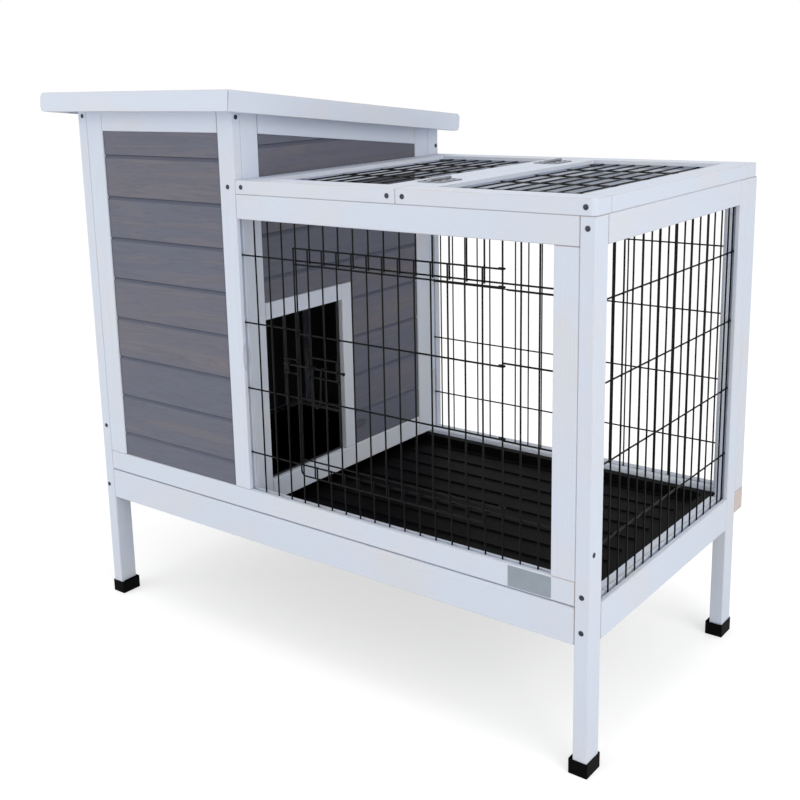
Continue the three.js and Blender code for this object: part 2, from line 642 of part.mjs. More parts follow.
function frontGrille() {
  const wires = [];
  const [foot, head] = [FRONT_MESH.z[0] - SEATED, FRONT_MESH.z[1] + SEATED];
  const cutEnds = [frontWireZ(FRONT_LAST_LEVEL) + WIRE, frontWireZ(0) - WIRE];
  for (const index of count(FRONT_UPRIGHTS)) {
    const place = { x: frontWireX(index), y: FRONT_MESH.upright };
    const inDoor = index > DOOR_LEFT_WIRE && index < DOOR_HINGE_WIRE;
    if (inDoor) {
      wires.push(wire('z', foot, cutEnds[0], place), wire('z', cutEnds[1], head, place));
    } else {
      wires.push(wire('z', foot, head, place));
    }
  }
  const left = FRONT_MESH.x[0] - SEATED;
  const right = FRONT_MESH.x[1] + SEATED;
  for (const index of count(FRONT_LAST_LEVEL + 1)) {
    const place = { y: FRONT_MESH.level, z: frontWireZ(index) };
    if (index === 0 || index === FRONT_LAST_LEVEL) {
      wires.push(wire('x', left, right, place));
    } else {
      wires.push(wire('x', left, DOOR_LEFT_X + WIRE, place));
      wires.push(wire('x', DOOR_AXIS_X - WIRE / 2, right, place));
    }
  }
  wires.push(wire('x', DOOR_AXIS_X + DOOR_EYE + WIRE, right, {
    y: FRONT_MESH.level,
    z: frontWireZ(0) - STAY_DROP,
  }));
  const armY = FRONT_MESH.upright - LAYER;
  const keeper = [frontWireX(DOOR_LEFT_WIRE - 1), DOOR_LEFT_X];
  for (const z of KEEPER_Z) {
    wires.push(wire('x', keeper[0] - WIRE, keeper[1] + WIRE, { y: armY, z }));
  }
  wires.push(stapleBridge((keeper[0] + keeper[1]) / 2, armY, KEEPER_Z));
  return join(wires);
}

// A level wire of the door with the eye at its right end: round the hinge wire and back.
function eyeWire(z, from) {
  const eye = count(7).map((step) => {
    const angle = -Math.PI / 2 + (Math.PI * step) / 6;
    return [
      DOOR_AXIS_X + DOOR_EYE * Math.cos(angle),
      FRONT_MESH.upright + DOOR_EYE * Math.sin(angle),
      z,
    ];
  });
  const tail = [DOOR_AXIS_X - EYE_TAIL, FRONT_MESH.upright + DOOR_EYE, z];
  return bentWire([[from, DOOR_LEVEL_Y, z], ...eye, tail], 12);
}

function wireDoor() {
  const wires = [];
  const lastUpright = frontWireX(DOOR_HINGE_WIRE - 1);
  for (const z of DOOR_LEVELS) {
    const eyeStart = DOOR_AXIS_X - 1.5 * WIRE;
    wires.push(eyeWire(z, eyeStart));
    wires.push(wire('x', DOOR_LEFT_X - WIRE / 2, eyeStart + WIRE / 4, { y: DOOR_LEVEL_Y, z }));
  }
  const bend = count(5).map((step) => {
    const angle = Math.PI + (Math.PI / 2) * (step / 4);
    return [
      DOOR_LEFT_X + DOOR_CORNER * (1 + Math.cos(angle)),
      DOOR_UPRIGHT_Y,
      DOOR_BOTTOM + DOOR_CORNER * (1 + Math.sin(angle)),
    ];
  });
  const rise = [DOOR_LEFT_X, DOOR_UPRIGHT_Y, DOOR_BOTTOM + 2 * DOOR_CORNER];
  const run = [DOOR_LEFT_X + 2 * DOOR_CORNER, DOOR_UPRIGHT_Y, DOOR_BOTTOM];
  wires.push(bentWire([rise, ...bend, run], 8));
  wires.push(wire('z', rise[2] - WIRE, DOOR_TOP + WIRE / 2, { x: DOOR_LEFT_X, y: DOOR_UPRIGHT_Y }));
  wires.push(wire('x', run[0] - WIRE, lastUpright + WIRE, { y: DOOR_UPRIGHT_Y, z: DOOR_BOTTOM }));
  for (let index = DOOR_LEFT_WIRE + 1; index < DOOR_HINGE_WIRE; index += 1) {
    wires.push(wire('z', DOOR_BOTTOM, DOOR_TOP + WIRE / 2, { x: frontWireX(index), y: DOOR_UPRIGHT_Y }));
  }
  const guide = [frontWireX(DOOR_LEFT_WIRE + 1), frontWireX(DOOR_LEFT_WIRE + 3)];
  const armY = DOOR_UPRIGHT_Y - LAYER;
  for (const z of GUIDE_Z) {
    wires.push(wire('x', guide[0] - WIRE, guide[1] + WIRE, { y: armY, z }));
  }
  for (const x of guide) {
    wires.push(stapleBridge(x, armY, GUIDE_Z));
  }
  return join(wires);
}

// The bolt with its ball tip, and the loop that hangs from it as the finger pull.
// The ball is level with the back of the rod, so that it slides past the door's uprights.
function latchBolt() {
  const tip = frontWireX(DOOR_LEFT_WIRE - 1) + WIRE;
  const rod = wire('x', tip, BOLT_TIP_X, { y: BOLT_Y, z: BOLT_Z }, 2 * BOLT_RADIUS);
  const ball = new THREE.SphereGeometry(BALL_RADIUS, 8, 6);
  ball.translate(BOLT_TIP_X, BOLT_Y + BOLT_RADIUS - BALL_RADIUS, BOLT_Z);
  const outY = BOLT_Y - BOLT_RADIUS - WIRE;
  const leg = ([x, lean]) => [
    [x, BOLT_Y, BOLT_Z],
    [x, outY, BOLT_Z - 0.1 * PULL_DROP],
    [x + 0.3 * lean, outY - 1, BOLT_Z - 0.55 * PULL_DROP],
    [x + lean, outY - 2, BOLT_Z - 0.93 * PULL_DROP],
  ];
  const foot = [(PULL_X[0] + PULL_X[1]) / 2 + 1, outY - 2, BOLT_Z - PULL_DROP];
  const left = leg([PULL_X[0], 3]);
  const right = leg([PULL_X[1], -1]).reverse();
  return join([rod, ball, bentWire([...left, foot, ...right], 24, PULL_WIRE)]);
}

add('front_grille', blackWire, frontGrille());
add('wire_door', blackWire, wireDoor());
add('door_latch_bolt', blackWire, latchBolt());

// ---- Lids over the run --------------------------------------------------------------------

const LID_Y = [0, BACK_FACE];
const LID_Z = fitted([RUN_TOP_HEIGHT, LID_TOP]);
const LID_WIRE_Z = LID_TOP - LID_MESH_DROP;
const FIXED_LID_X = [HOUSE_LENGTH, LID_JOINT];
const HINGED_LID_X = [LID_JOINT, RUN_LENGTH];

const insideBars = (x) => [x, LID_Y].map(([low, high]) => [low + LID_BAR, high - LID_BAR]);

// Four bars framed round a wire panel, grooved inside for the wire ends. The free outer
// corners of the hinged lid are rounded.
function lidFrame(x, cornerRadius) {
  const [x0, x1] = fitted(x);
  const [y0, y1] = fitted(LID_Y);
  const outline = new THREE.Shape();
  outline.moveTo(x0, y0);
  outline.lineTo(x1 - cornerRadius, y0);
  if (cornerRadius > 0) {
    outline.absarc(x1 - cornerRadius, y0 + cornerRadius, cornerRadius, -Math.PI / 2, 0);
  }
  outline.lineTo(x1, y1 - cornerRadius);
  if (cornerRadius > 0) {
    outline.absarc(x1 - cornerRadius, y1 - cornerRadius, cornerRadius, 0, Math.PI / 2);
  }
  outline.lineTo(x0, y1);
  const [inX, inY] = insideBars(x);
  outline.holes.push(polygon([
    [inX[0], inY[0]], [inX[0], inY[1]], [inX[1], inY[1]], [inX[1], inY[0]],
  ]));
  const groove = meshGroove(inX, inY, [0, 0], 'z', LID_WIRE_Z, LID_WIRE_Z - LAYER);
  return cut(run(outline, 'z', ...LID_Z), groove);
}

// Wires along the depth of the lid on top, cross wires under them, with three quarters of a
// pitch between the outer ones and the bars.
function lidGrille(x) {
  const [inX, inY] = insideBars(x);
  const clear = inX[1] - inX[0];
  const spaces = Math.round(clear / WIRE_PITCH);
  const crossPitch = (inY[1] - inY[0]) / (LID_CROSS_WIRES + 0.5);
  const wires = count(spaces).map((index) => wire('y', inY[0] - SEATED, inY[1] + SEATED, {
    x: inX[0] + clear / 2 + WIRE_PITCH * (index - (spaces - 1) / 2),
    z: LID_WIRE_Z,
  }));
  for (const index of count(LID_CROSS_WIRES)) {
    wires.push(wire('x', inX[0] - SEATED, inX[1] + SEATED, {
      y: inY[0] + crossPitch * (index + 0.75),
      z: LID_WIRE_Z - LAYER,
    }));
  }
  return join(wires);
}

add('fixed_lid_frame', whitewash, lidFrame(FIXED_LID_X, 0));
add('fixed_lid_grille', blackWire, lidGrille(FIXED_LID_X));
add('hinged_lid_frame', whitewash, lidFrame(HINGED_LID_X, LID_CORNER_RADIUS));
add('hinged_lid_grille', blackWire, lidGrille(HINGED_LID_X));

// ---- Butt hinges --------------------------------------------------------------------------

// A leaf in the hinge's own frame: pin along Y at the origin, plate towards side * X with its
// underside at plateZ. The leaf that holds the pin has the outer and middle knuckles.
const KNUCKLE_LENGTH = HINGE_LENGTH / HINGE_KNUCKLES;
const HINGE_HALF = HINGE_LENGTH / 2;
const CLEAR_OF_BARREL = HINGE_KNUCKLE + HINGE_PLAY;

function hingeLeaf(side, plateZ, holdsPin) {
  const across = (from, to) => [side * from, side * to].sort((a, b) => a - b);
  const plate = [plateZ, plateZ + HINGE_SHEET];
  const parts = [block(across(CLEAR_OF_BARREL, HINGE_LEAF), [-HINGE_HALF, HINGE_HALF], plate)];
  for (const index of count(HINGE_KNUCKLES).filter((n) => (n % 2 === 0) === holdsPin)) {
    const start = -HINGE_HALF + KNUCKLE_LENGTH * index;
    const y = [start + HINGE_PLAY / 2, start + KNUCKLE_LENGTH - HINGE_PLAY / 2];
    parts.push(block(across(0, CLEAR_OF_BARREL + HINGE_SHEET), y, plate));
    const knuckle = new THREE.CylinderGeometry(HINGE_KNUCKLE, HINGE_KNUCKLE, y[1] - y[0], KNUCKLE_SIDES);
    parts.push(knuckle.translate(0, (y[0] + y[1]) / 2, 0));
  }
  if (holdsPin) {
    const length = HINGE_LENGTH - HINGE_PLAY;
    return join([...parts, new THREE.CylinderGeometry(HINGE_PIN, HINGE_PIN, length, PIN_SIDES)]);
  }
  const bore = HINGE_PIN + HINGE_PLAY;
  return cut(join(parts), new THREE.CylinderGeometry(bore, bore, 2 * HINGE_LENGTH, PIN_SIDES));
}

const LID_PIN_Z = LID_TOP + FIT / 2 + HINGE_KNUCKLE;
for (const [place, y] of [['front', LID_HINGE_INSET], ['back', BACK_FACE - LID_HINGE_INSET]]) {
  const onLid = (leaf) => leaf.translate(LID_JOINT, y, LID_PIN_Z);
  add(`lid_hinge_${place}_fixed_leaf`, zinc, onLid(hingeLeaf(-1, -HINGE_KNUCKLE, true)));
  add(`lid_hinge_${place}_lid_leaf`, zinc, onLid(hingeLeaf(1, -HINGE_KNUCKLE, false)));
}

// ---- Roof ---------------------------------------------------------------------------------

// Made level, with Y along the slope from the front faces of the legs and Z up from the
// underside of the deck, and tilted as one group.
const roof = new THREE.Group();
roof.position.set(0, 0, ROOF_HEIGHT);
roof.rotation.x = -ROOF_PITCH;
hutch.add(roof);

const alongSlope = (y) => y / Math.cos(ROOF_PITCH);
const ROOF_X = [-ROOF_SIDE_OVERHANG, HOUSE_LENGTH + ROOF_SIDE_OVERHANG];
const ROOF_Y = [-ROOF_FRONT_OVERHANG, alongSlope(BACK_FACE + ROOF_BACK_OVERHANG)];
const DECK_X = [ROOF_X[0] + FASCIA_THICK, ROOF_X[1] - FASCIA_THICK];
const DECK_Y = [ROOF_Y[0] + FASCIA_THICK, ROOF_Y[1]];
const FASCIA_TOP = ROOF_DECK + FASCIA_LIP;
const FASCIA_Z = fitted([FASCIA_TOP - FASCIA_HEIGHT, FASCIA_TOP]);

// The deck is boards run across the house, with a V joint between boards seen from below.
function roofDeck() {
  const [back, front] = [DECK_Y[1] - FIT / 2, DECK_Y[0] + FIT / 2];
  const [under, top] = fitted([0, ROOF_DECK - ROOF_FELT]);
  const outline = [[front, top], [front, under]];
  const boards = Math.round((back - front) / DECK_BOARD);
  for (let seam = 1; seam < boards; seam += 1) {
    const y = front + ((back - front) * seam) / boards;
    outline.push([y - DECK_JOINT, under], [y, under + DECK_JOINT], [y + DECK_JOINT, under]);
  }
  outline.push([back, under], [back, top]);
  return run(polygon(outline), 'x', ...fitted(DECK_X));
}

// A fascia board seen on its face, length across and height up. Free ends are rounded.
function fasciaBoard([start, end], roundStart, roundEnd, [inner, outer]) {
  const [bottom, top] = FASCIA_Z;
  const [low, high] = fitted([start, end]);
  const r = FASCIA_END_RADIUS;
  const shape = new THREE.Shape();
  shape.moveTo(roundStart ? low + r : low, bottom);
  shape.lineTo(roundEnd ? high - r : high, bottom);
  if (roundEnd) {
    shape.absarc(high - r, bottom + r, r, -Math.PI / 2, 0);
    shape.absarc(high - r, top - r, r, 0, Math.PI / 2);
  } else {
    shape.lineTo(high, top);
  }
  shape.lineTo(roundStart ? low + r : low, top);
  if (roundStart) {
    shape.absarc(low + r, top - r, r, Math.PI / 2, Math.PI);
    shape.absarc(low + r, bottom + r, r, Math.PI, 1.5 * Math.PI);
  }
  return run(shape, 'x', ...fitted([inner, outer]));
}

// The space on one side of the mitre at the front right corner: 1 right of it, -1 left of it.
function besideMitre(side) {
  const gap = (FIT / 2) * Math.SQRT2;
  const [cornerX, cornerY] = [ROOF_X[1], ROOF_Y[0]];
  const past = 2 * FASCIA_THICK;
  const corners = [
    [cornerX + past - side * gap, cornerY - past],
    [cornerX - past - side * gap, cornerY + past],
  ];
  corners.push([cornerX + side * 2 * past, cornerY + side * past]);
  const outline = polygon(side > 0 ? corners.reverse() : corners);
  return run(outline, 'z', -2 * FASCIA_HEIGHT, 2 * FASCIA_HEIGHT);
}

add('roof_deck', whitewash, roofDeck(), roof);
add('roof_felt', roofFelt, block(
  fitted(DECK_X), fitted(DECK_Y), fitted([ROOF_DECK - ROOF_FELT, ROOF_DECK]),
), roof);
add('roof_fascia_front', whitewash, cut(
  fasciaBoard(ROOF_X, true, false, [-DECK_Y[0], -ROOF_Y[0]]).rotateZ(-Math.PI / 2), besideMitre(1),
), roof);
add('roof_fascia_right', whitewash, cut(
  fasciaBoard(ROOF_Y, false, true, [DECK_X[1], ROOF_X[1]]), besideMitre(-1),
), roof);
add('roof_fascia_left', whitewash, fasciaBoard(DECK_Y, false, true, [ROOF_X[0], DECK_X[0]]), roof);

// The roof's hinges are folded: both leaves lie between the back rail and the deck, with the
// pin behind the back frame and under the deck's overhang.
const ROOF_LEAF_Z = -FIT / 2 - HINGE_SHEET;
const FRAME_LEAF_Z = ROOF_LEAF_Z - FIT - HINGE_SHEET;
const ROOF_PIN_Z = -FIT - HINGE_KNUCKLE;
const ROOF_PIN_Y = alongSlope(BACK_FACE) + HINGE_KNUCKLE + FIT;

for (const [place, x] of [['left', ROOF_HINGE_INSET], ['right', HOUSE_LENGTH - ROOF_HINGE_INSET]]) {
  const atBack = (leaf) => leaf.rotateZ(Math.PI / 2).translate(x, ROOF_PIN_Y, ROOF_PIN_Z);
  add(`roof_hinge_${place}_frame_leaf`, zinc,
    atBack(hingeLeaf(-1, FRAME_LEAF_Z - ROOF_PIN_Z, true)), roof);
  add(`roof_hinge_${place}_roof_leaf`, zinc,
    atBack(hingeLeaf(-1, ROOF_LEAF_Z - ROOF_PIN_Z, false)), roof);
}

const railUnderHinges = sloped(block(
  [-RUN_LENGTH, RUN_LENGTH],
  [-RUN_DEPTH, 2 * RUN_DEPTH],
  [ROOF_HEIGHT + (FRAME_LEAF_Z - FIT) / Math.cos(ROOF_PITCH), ROOF_HEIGHT + RUN_DEPTH],
));
add('house_back_top_rail', whitewash, cut(
  batten('x', BACK_BOARDS_X, BACK, [BACK_TOP_RAIL_BOTTOM, TALL]), railUnderHinges,
));

// ---- Pull-out floor tray ------------------------------------------------------------------

// The tray hangs by its rim on rebated runners along the side rails, and its front board
// closes the space under the front rail. Low ribs stiffen its floor.
const TRAY_INSET = FRAME_THICK + RUNNER_WIDTH - RUNNER_LEDGE;
const TRAY_X = [TRAY_INSET, RUN_LENGTH - TRAY_INSET];
const TRAY_Y = [FRAME_THICK, RUN_DEPTH - TRAY_BACK_GAP];
const LEDGE_TOP = TRAY_RIM_TOP - TRAY_SHEET - FIT;

function trayRunner() {
  const [inner, outer] = [RUNNER_WIDTH - FIT / 2, FIT / 2];
  const [bottom, top] = [SKIRT_TOP - RUNNER_HEIGHT, SKIRT_TOP - FIT];
  const section = polygon([
    [bottom, inner], [LEDGE_TOP, inner], [LEDGE_TOP, inner - RUNNER_LEDGE],
    [top, inner - RUNNER_LEDGE], [top, outer], [bottom, outer],
  ]);
  return run(section, 'y', ...fitted(BETWEEN_LEGS));
}

function roundedRectangle([x0, x1], [y0, y1], radius) {
  const shape = new THREE.Shape();
  shape.moveTo(x0 + radius, y0);
  shape.lineTo(x1 - radius, y0);
  shape.absarc(x1 - radius, y0 + radius, radius, -Math.PI / 2, 0);
  shape.lineTo(x1, y1 - radius);
  shape.absarc(x1 - radius, y1 - radius, radius, 0, Math.PI / 2);
  shape.lineTo(x0 + radius, y1);
  shape.absarc(x0 + radius, y1 - radius, radius, Math.PI / 2, Math.PI);
  shape.lineTo(x0, y0 + radius);
  shape.absarc(x0 + radius, y0 + radius, radius, Math.PI, 1.5 * Math.PI);
  return shape;
}

// A basin with draft: the outline at the rim, drawn in by the draft down to the floor.
function drafted(x, y, bottom, top, radius) {
  const geometry = run(roundedRectangle(x, y, radius), 'z', bottom, top);
  const [midX, midY] = [(x[0] + x[1]) / 2, (y[0] + y[1]) / 2];
  const position = geometry.attributes.position;
  for (let i = 0; i < position.count; i += 1) {
    const inset = (TRAY_DRAFT * (top - position.getZ(i))) / (top - bottom);
    position.setX(i, midX + (position.getX(i) - midX) * (1 - (2 * inset) / (x[1] - x[0])));
    position.setY(i, midY + (position.getY(i) - midY) * (1 - (2 * inset) / (y[1] - y[0])));
  }
  return geometry;
}

// A low rib along the tray's floor, with its foot sunk into the sheet.
function ribOutline(y, floor) {
  const [foot, crest] = [TRAY_RIB_FOOT / 2, TRAY_RIB_CREST / 2];
  const [low, high] = [floor + TRAY_SHEET / 2, floor + TRAY_RIB_TOP];
  return [[y - foot, low], [y + foot, low], [y + crest, high], [y - crest, high]];
}

function tray() {
  const inset = ([low, high], by) => [low + by, high - by];
  const basinX = inset(TRAY_X, RUNNER_LEDGE + 1);
  const basinY = [TRAY_Y[0] + 1, TRAY_Y[1] - RUNNER_LEDGE];
  const floor = TRAY_RIM_TOP - TRAY_DEPTH;
  const rim = block(fitted(TRAY_X), fitted(TRAY_Y), [TRAY_RIM_TOP - TRAY_SHEET, TRAY_RIM_TOP]);
  const outer = drafted(basinX, basinY, floor, TRAY_RIM_TOP - FIT, TRAY_RADIUS);
  const hollow = drafted(
    inset(basinX, TRAY_SHEET), inset(basinY, TRAY_SHEET), floor + TRAY_SHEET, TRAY_RIM_TOP + FIT,
    TRAY_RADIUS - TRAY_SHEET,
  );
  const ribX = inset(basinX, TRAY_RIB_PITCH / 2);
  const ribY = inset(basinY, TRAY_RIB_PITCH / 2);
  const ribSpaces = Math.round((ribY[1] - ribY[0]) / TRAY_RIB_PITCH);
  const ribs = count(ribSpaces + 1).map((index) => {
    const y = ribY[0] + ((ribY[1] - ribY[0]) * index) / ribSpaces;
    return run(polygon(ribOutline(y, floor)), 'x', ...ribX);
  });
  return join([cut(join([rim, outer]), hollow), ...ribs]);
}

add('tray', blackPlastic, tray());
add('tray_front_board', whitewash, batten(
  'x', [LEG_WIDTH, RIGHT_INNER], FRONT, [SKIRT_BOTTOM, SKIRT_TOP],
));
const rightRunner = trayRunner();
add('tray_runner_left', whitewash, trayRunner().translate(FRAME_THICK, 0, 0));
add('tray_runner_right', whitewash, rightRunner.rotateZ(Math.PI).translate(
  RUN_LENGTH - FRAME_THICK, RUN_DEPTH, 0,
));

// ---- Origin: the middle of the footprint, on the floor ------------------------------------

hutch.updateMatrixWorld(true);
const extent = new THREE.Box3().setFromObject(hutch, true);
const middle = extent.getCenter(new THREE.Vector3());
hutch.position.set(-middle.x, -middle.y, 0);

export default hutch;
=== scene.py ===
# Looks of an outdoor rabbit run on legs: a closed house with grey shiplap boards in whitewashed
# frames, beside an open run of black welded wire with two wire lids, a wire door and a floor tray.

import itertools
import math
import random

import bmesh
import bpy
from mathutils import Matrix, Vector
from mathutils.geometry import intersect_line_line


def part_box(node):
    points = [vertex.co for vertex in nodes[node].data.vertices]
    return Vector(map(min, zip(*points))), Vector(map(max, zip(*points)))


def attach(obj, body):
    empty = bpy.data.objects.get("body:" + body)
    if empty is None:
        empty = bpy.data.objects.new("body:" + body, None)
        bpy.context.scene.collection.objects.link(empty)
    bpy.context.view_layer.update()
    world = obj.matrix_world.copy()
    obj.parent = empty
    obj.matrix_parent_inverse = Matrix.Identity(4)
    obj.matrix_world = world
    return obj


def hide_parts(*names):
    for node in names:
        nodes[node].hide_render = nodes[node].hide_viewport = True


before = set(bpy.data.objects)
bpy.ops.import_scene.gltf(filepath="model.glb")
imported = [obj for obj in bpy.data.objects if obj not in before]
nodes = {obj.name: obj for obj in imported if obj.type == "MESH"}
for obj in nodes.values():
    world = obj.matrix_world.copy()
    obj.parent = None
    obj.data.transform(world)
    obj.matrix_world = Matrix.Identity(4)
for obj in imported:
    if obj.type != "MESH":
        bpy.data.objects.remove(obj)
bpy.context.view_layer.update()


# ---- Camera -------------------------------------------------------------------------------
# The photograph was taken from the front right, from a little above the roof, with a normal
# lens that looked down by 12 degrees. The picture's middle lies right of its axis and below it.

FOCAL_PX = 1125.4
PHOTO_PX = 800
LENS_AXIS_PX = (352.2, 317.5)
SENSOR_MM = 36
EYE = Vector((1.03872, -1.37086, 0.86705))
HEADING = math.radians(39.189)
FALL = math.radians(12.380)
ROLL = math.radians(-1.687)

look = Vector((-math.sin(HEADING) * math.cos(FALL), math.cos(HEADING) * math.cos(FALL), -math.sin(FALL)))
level_right = Vector((math.cos(HEADING), math.sin(HEADING), 0))
right = level_right * math.cos(ROLL) + level_right.cross(look) * math.sin(ROLL)
lens = bpy.data.cameras.new("camera")
lens.sensor_width = SENSOR_MM
lens.lens = SENSOR_MM * FOCAL_PX / PHOTO_PX
lens.shift_x = 0.5 - LENS_AXIS_PX[0] / PHOTO_PX
lens.shift_y = LENS_AXIS_PX[1] / PHOTO_PX - 0.5
camera = bpy.data.objects.new("camera", lens)
camera_axes = Matrix((right, right.cross(look), -look)).transposed()
camera.matrix_world = Matrix.Translation(EYE) @ camera_axes.to_4x4()
bpy.context.scene.collection.objects.link(camera)
bpy.context.scene.camera = camera
bpy.context.scene.view_settings.view_transform = "Standard"


# ---- Studio -------------------------------------------------------------------------------
# A plain white studio: an even sky of soft light and large lamps on the right, in front and
# above. The white floor keeps the hutch's soft shadow, and its glow, which only the camera and
# reflections see, grows with the distance so that the floor goes over into the sky.

SKY = 0.50
FLOOR_HALF = 30.0
FLOOR_WHITE = (0.80, 0.80, 0.795, 1)
FLOOR_DUST = (0.79, 0.79, 0.785, 1)
GLOW = 0.62
GLOW_NEAR = (0.855, 0.855, 0.855, 1)
GLOW_FAR = (1, 1, 1, 1)
GLOW_FROM, GLOW_OVER = 1.6, 3.0
LAMP_TARGET = Vector((0, 0, 0.45))
# A place and a size in metres, and a power in watts.
LAMPS = {
    "lamp_right": ((3.0, -0.9, 1.3), 2.4, 40),
    "lamp_front": ((-1.6, -3.0, 0.8), 3.0, 46),
    "lamp_top": ((0.1, -0.3, 3.2), 1.6, 20),
}


class Shade:
    """A socket of a material, which is written as sums on its sockets, from the place on the
    piece to its colour. Sums add Math nodes, and node() adds any other node."""

    def __init__(self, tree, socket=None):
        self.tree = tree
        self.socket = socket

    def node(self, kind, settings=None, values=None, output=0):
        made = self.tree.nodes.new("ShaderNode" + kind)
        for name, setting in (settings or {}).items():
            setattr(made, name, setting)
        for name, value in (values or {}).items():
            if isinstance(value, Shade):
                self.tree.links.new(value.socket, made.inputs[name])
            else:
                made.inputs[name].default_value = value
        return Shade(self.tree, made.outputs[output] if made.outputs else None)

    def maths(self, operation, first, second=0.0, clamp=False):
        return self.node("Math", {"operation": operation, "use_clamp": clamp}, {0: first, 1: second})

    def __add__(self, other):
        return self.maths("ADD", self, other)

    def __sub__(self, other):
        return self.maths("SUBTRACT", self, other)

    def __rsub__(self, other):
        return self.maths("SUBTRACT", other, self)

    def __mul__(self, other):
        return self.maths("MULTIPLY", self, other)

    def __truediv__(self, other):
        return self.maths("DIVIDE", self, other)

    def __pow__(self, other):
        return self.maths("POWER", self, other)

    def __abs__(self):
        return self.maths("ABSOLUTE", self)

    __radd__ = __add__
    __rmul__ = __mul__

    def clamp(self):
        return self.maths("ADD", self, 0.0, clamp=True)

    def above(self, level, soft):
        """0 below a level and 1 above it, over a soft step."""
        return self.maths("MULTIPLY", self - level, 1 / soft, clamp=True)

    def mix(self, without, whole):
        """A colour, from the first where this mask is 0 to the second where it is 1."""
        values = {0: self.clamp(), 6: without, 7: whole}
        return self.node("Mix", {"data_type": "RGBA"}, values, output=2)

    def stretch(self, scale, shift=(0, 0, 0)):
        """A place moved, then scaled along each axis."""
        moved = self.node("VectorMath", {"operation": "ADD"}, {0: self, 1: shift})
        return moved.node("VectorMath", {"operation": "MULTIPLY"}, {0: moved, 1: scale})

    def noise(self, detail=3.0, roughness=0.5, distortion=0.0):
        values = {"Vector": self, "Scale": 1.0, "Detail": detail, "Roughness": roughness,
                  "Distortion": distortion}
        return self.node("TexNoise", None, values)

    def axes(self):
        return [self.node("SeparateXYZ", None, {0: self}, output=axis) for axis in range(3)]


def start(name):
    """A new material and the place on its piece, in metres in the piece's own frame."""
    material = bpy.data.materials.new(name)
    material.use_nodes = True
    material.node_tree.nodes.clear()
    place = Shade(material.node_tree).node("TexCoord", output="Object")
    return material, place


def seen_directly(tree):
    """1 where the camera, a reflection or a clear surface looks at this, and 0 for its light."""
    rays = ("Camera", "Glossy", "Transmission")
    paths = [tree.node("LightPath", output=f"Is {ray} Ray") for ray in rays]
    return (paths[0] + paths[1] + paths[2]).clamp()


world = bpy.data.worlds.new("studio")
world.use_nodes = True
world.node_tree.nodes.clear()
sky = Shade(world.node_tree)
strength = seen_directly(sky) * (1 - SKY) + SKY
backdrop = sky.node("Background", None, {"Color": (1, 1, 1, 1), "Strength": strength})
sky.node("OutputWorld", None, {"Surface": backdrop})
bpy.context.scene.world = world

for lamp_name, (lamp_place, lamp_size, lamp_power) in LAMPS.items():
    lamp = bpy.data.lights.new(lamp_name, "AREA")
    lamp.size = lamp_size
    lamp.energy = lamp_power
    lamp_object = bpy.data.objects.new(lamp_name, lamp)
    lamp_object.location = lamp_place
    aim = LAMP_TARGET - Vector(lamp_place)
    lamp_object.rotation_euler = aim.to_track_quat("-Z", "Y").to_euler()
    bpy.context.scene.collection.objects.link(lamp_object)


def mesh_object(name, verts, faces):
    mesh = bpy.data.meshes.new(name)
    mesh.from_pydata(verts, [], faces)
    mesh.update()
    made = bpy.data.objects.new(name, mesh)
    bpy.context.scene.collection.objects.link(made)
    return made


floor = mesh_object(
    "floor",
    [(x * FLOOR_HALF, y * FLOOR_HALF, 0) for x, y in ((-1, -1), (1, -1), (1, 1), (-1, 1))],
    [(0, 1, 2, 3)],
)
floor_material, floor_place = start("floor_white")
floor_dust = floor_place.stretch((3, 3, 3)).noise()
shown = seen_directly(floor_place)
floor_colour = floor_dust.mix(FLOOR_WHITE, FLOOR_DUST)
floor_shader = floor_place.node("BsdfDiffuse", None, {"Color": floor_colour})
floor_reach = floor_place.node("VectorMath", {"operation": "LENGTH"}, {0: floor_place}, output="Value")
floor_glow = floor_reach.above(GLOW_FROM, GLOW_OVER).mix(GLOW_NEAR, GLOW_FAR)
floor_lift = floor_place.node("Emission", None, {"Color": floor_glow, "Strength": GLOW * shown})
floor_sum = floor_place.node("AddShader", None, {0: floor_shader, 1: floor_lift})
floor_place.node("OutputMaterial", None, {"Surface": floor_sum})
floor.data.materials.append(floor_material)


# ---- Whitewashed frames -------------------------------------------------------------------
# Planed fir battens, screwed together, under a thin cold-white wash. The growth rings run about
# a line beside each batten, so that its faces and its end grain belong together. The wash is
# thin on the eased edges and over the summer wood, and knots show through it.


def srgb(red, green, blue):
    """A colour given as 0 to 255, as a linear colour."""
    def linear(value):
        share = value / 255
        return share / 12.92 if share <= 0.04045 else ((share + 0.055) / 1.055) ** 2.4
    return (linear(red), linear(green), linear(blue), 1.0)


def surface(material, colour, roughness, height=None, relief=0.0, constants=None):
    """Ends a material: colour and roughness, height in 0 to 1 over the relief in metres."""
    values = {"Base Color": colour, "Roughness": roughness}
    values.update(constants or {})
    tree = Shade(material.node_tree)
    if height is not None:
        bump = {"Height": height, "Distance": relief, "Strength": 1.0}
        values["Normal"] = tree.node("Bump", None, bump)
    shader = tree.node("BsdfPrincipled", None, values)
    tree.node("OutputMaterial", None, {"Surface": shader})
    return material


RING = 0.0034
WASH = srgb(215, 224, 239)
WASH_THIN = srgb(219, 222, 230)
FIR_LIGHT = srgb(224, 204, 182)
FIR_DARK = srgb(160, 132, 106)
KNOT = srgb(150, 142, 144)
RAW_END = srgb(214, 198, 190)
JOINT = srgb(138, 118, 108)
EASED_WIDTH = 0.0022
JOINT_WIDTH = 0.0009
KNOT_CHANCE = 0.16
AXES = {"x": 0, "y": 1, "z": 2}
dice = random.Random(7)

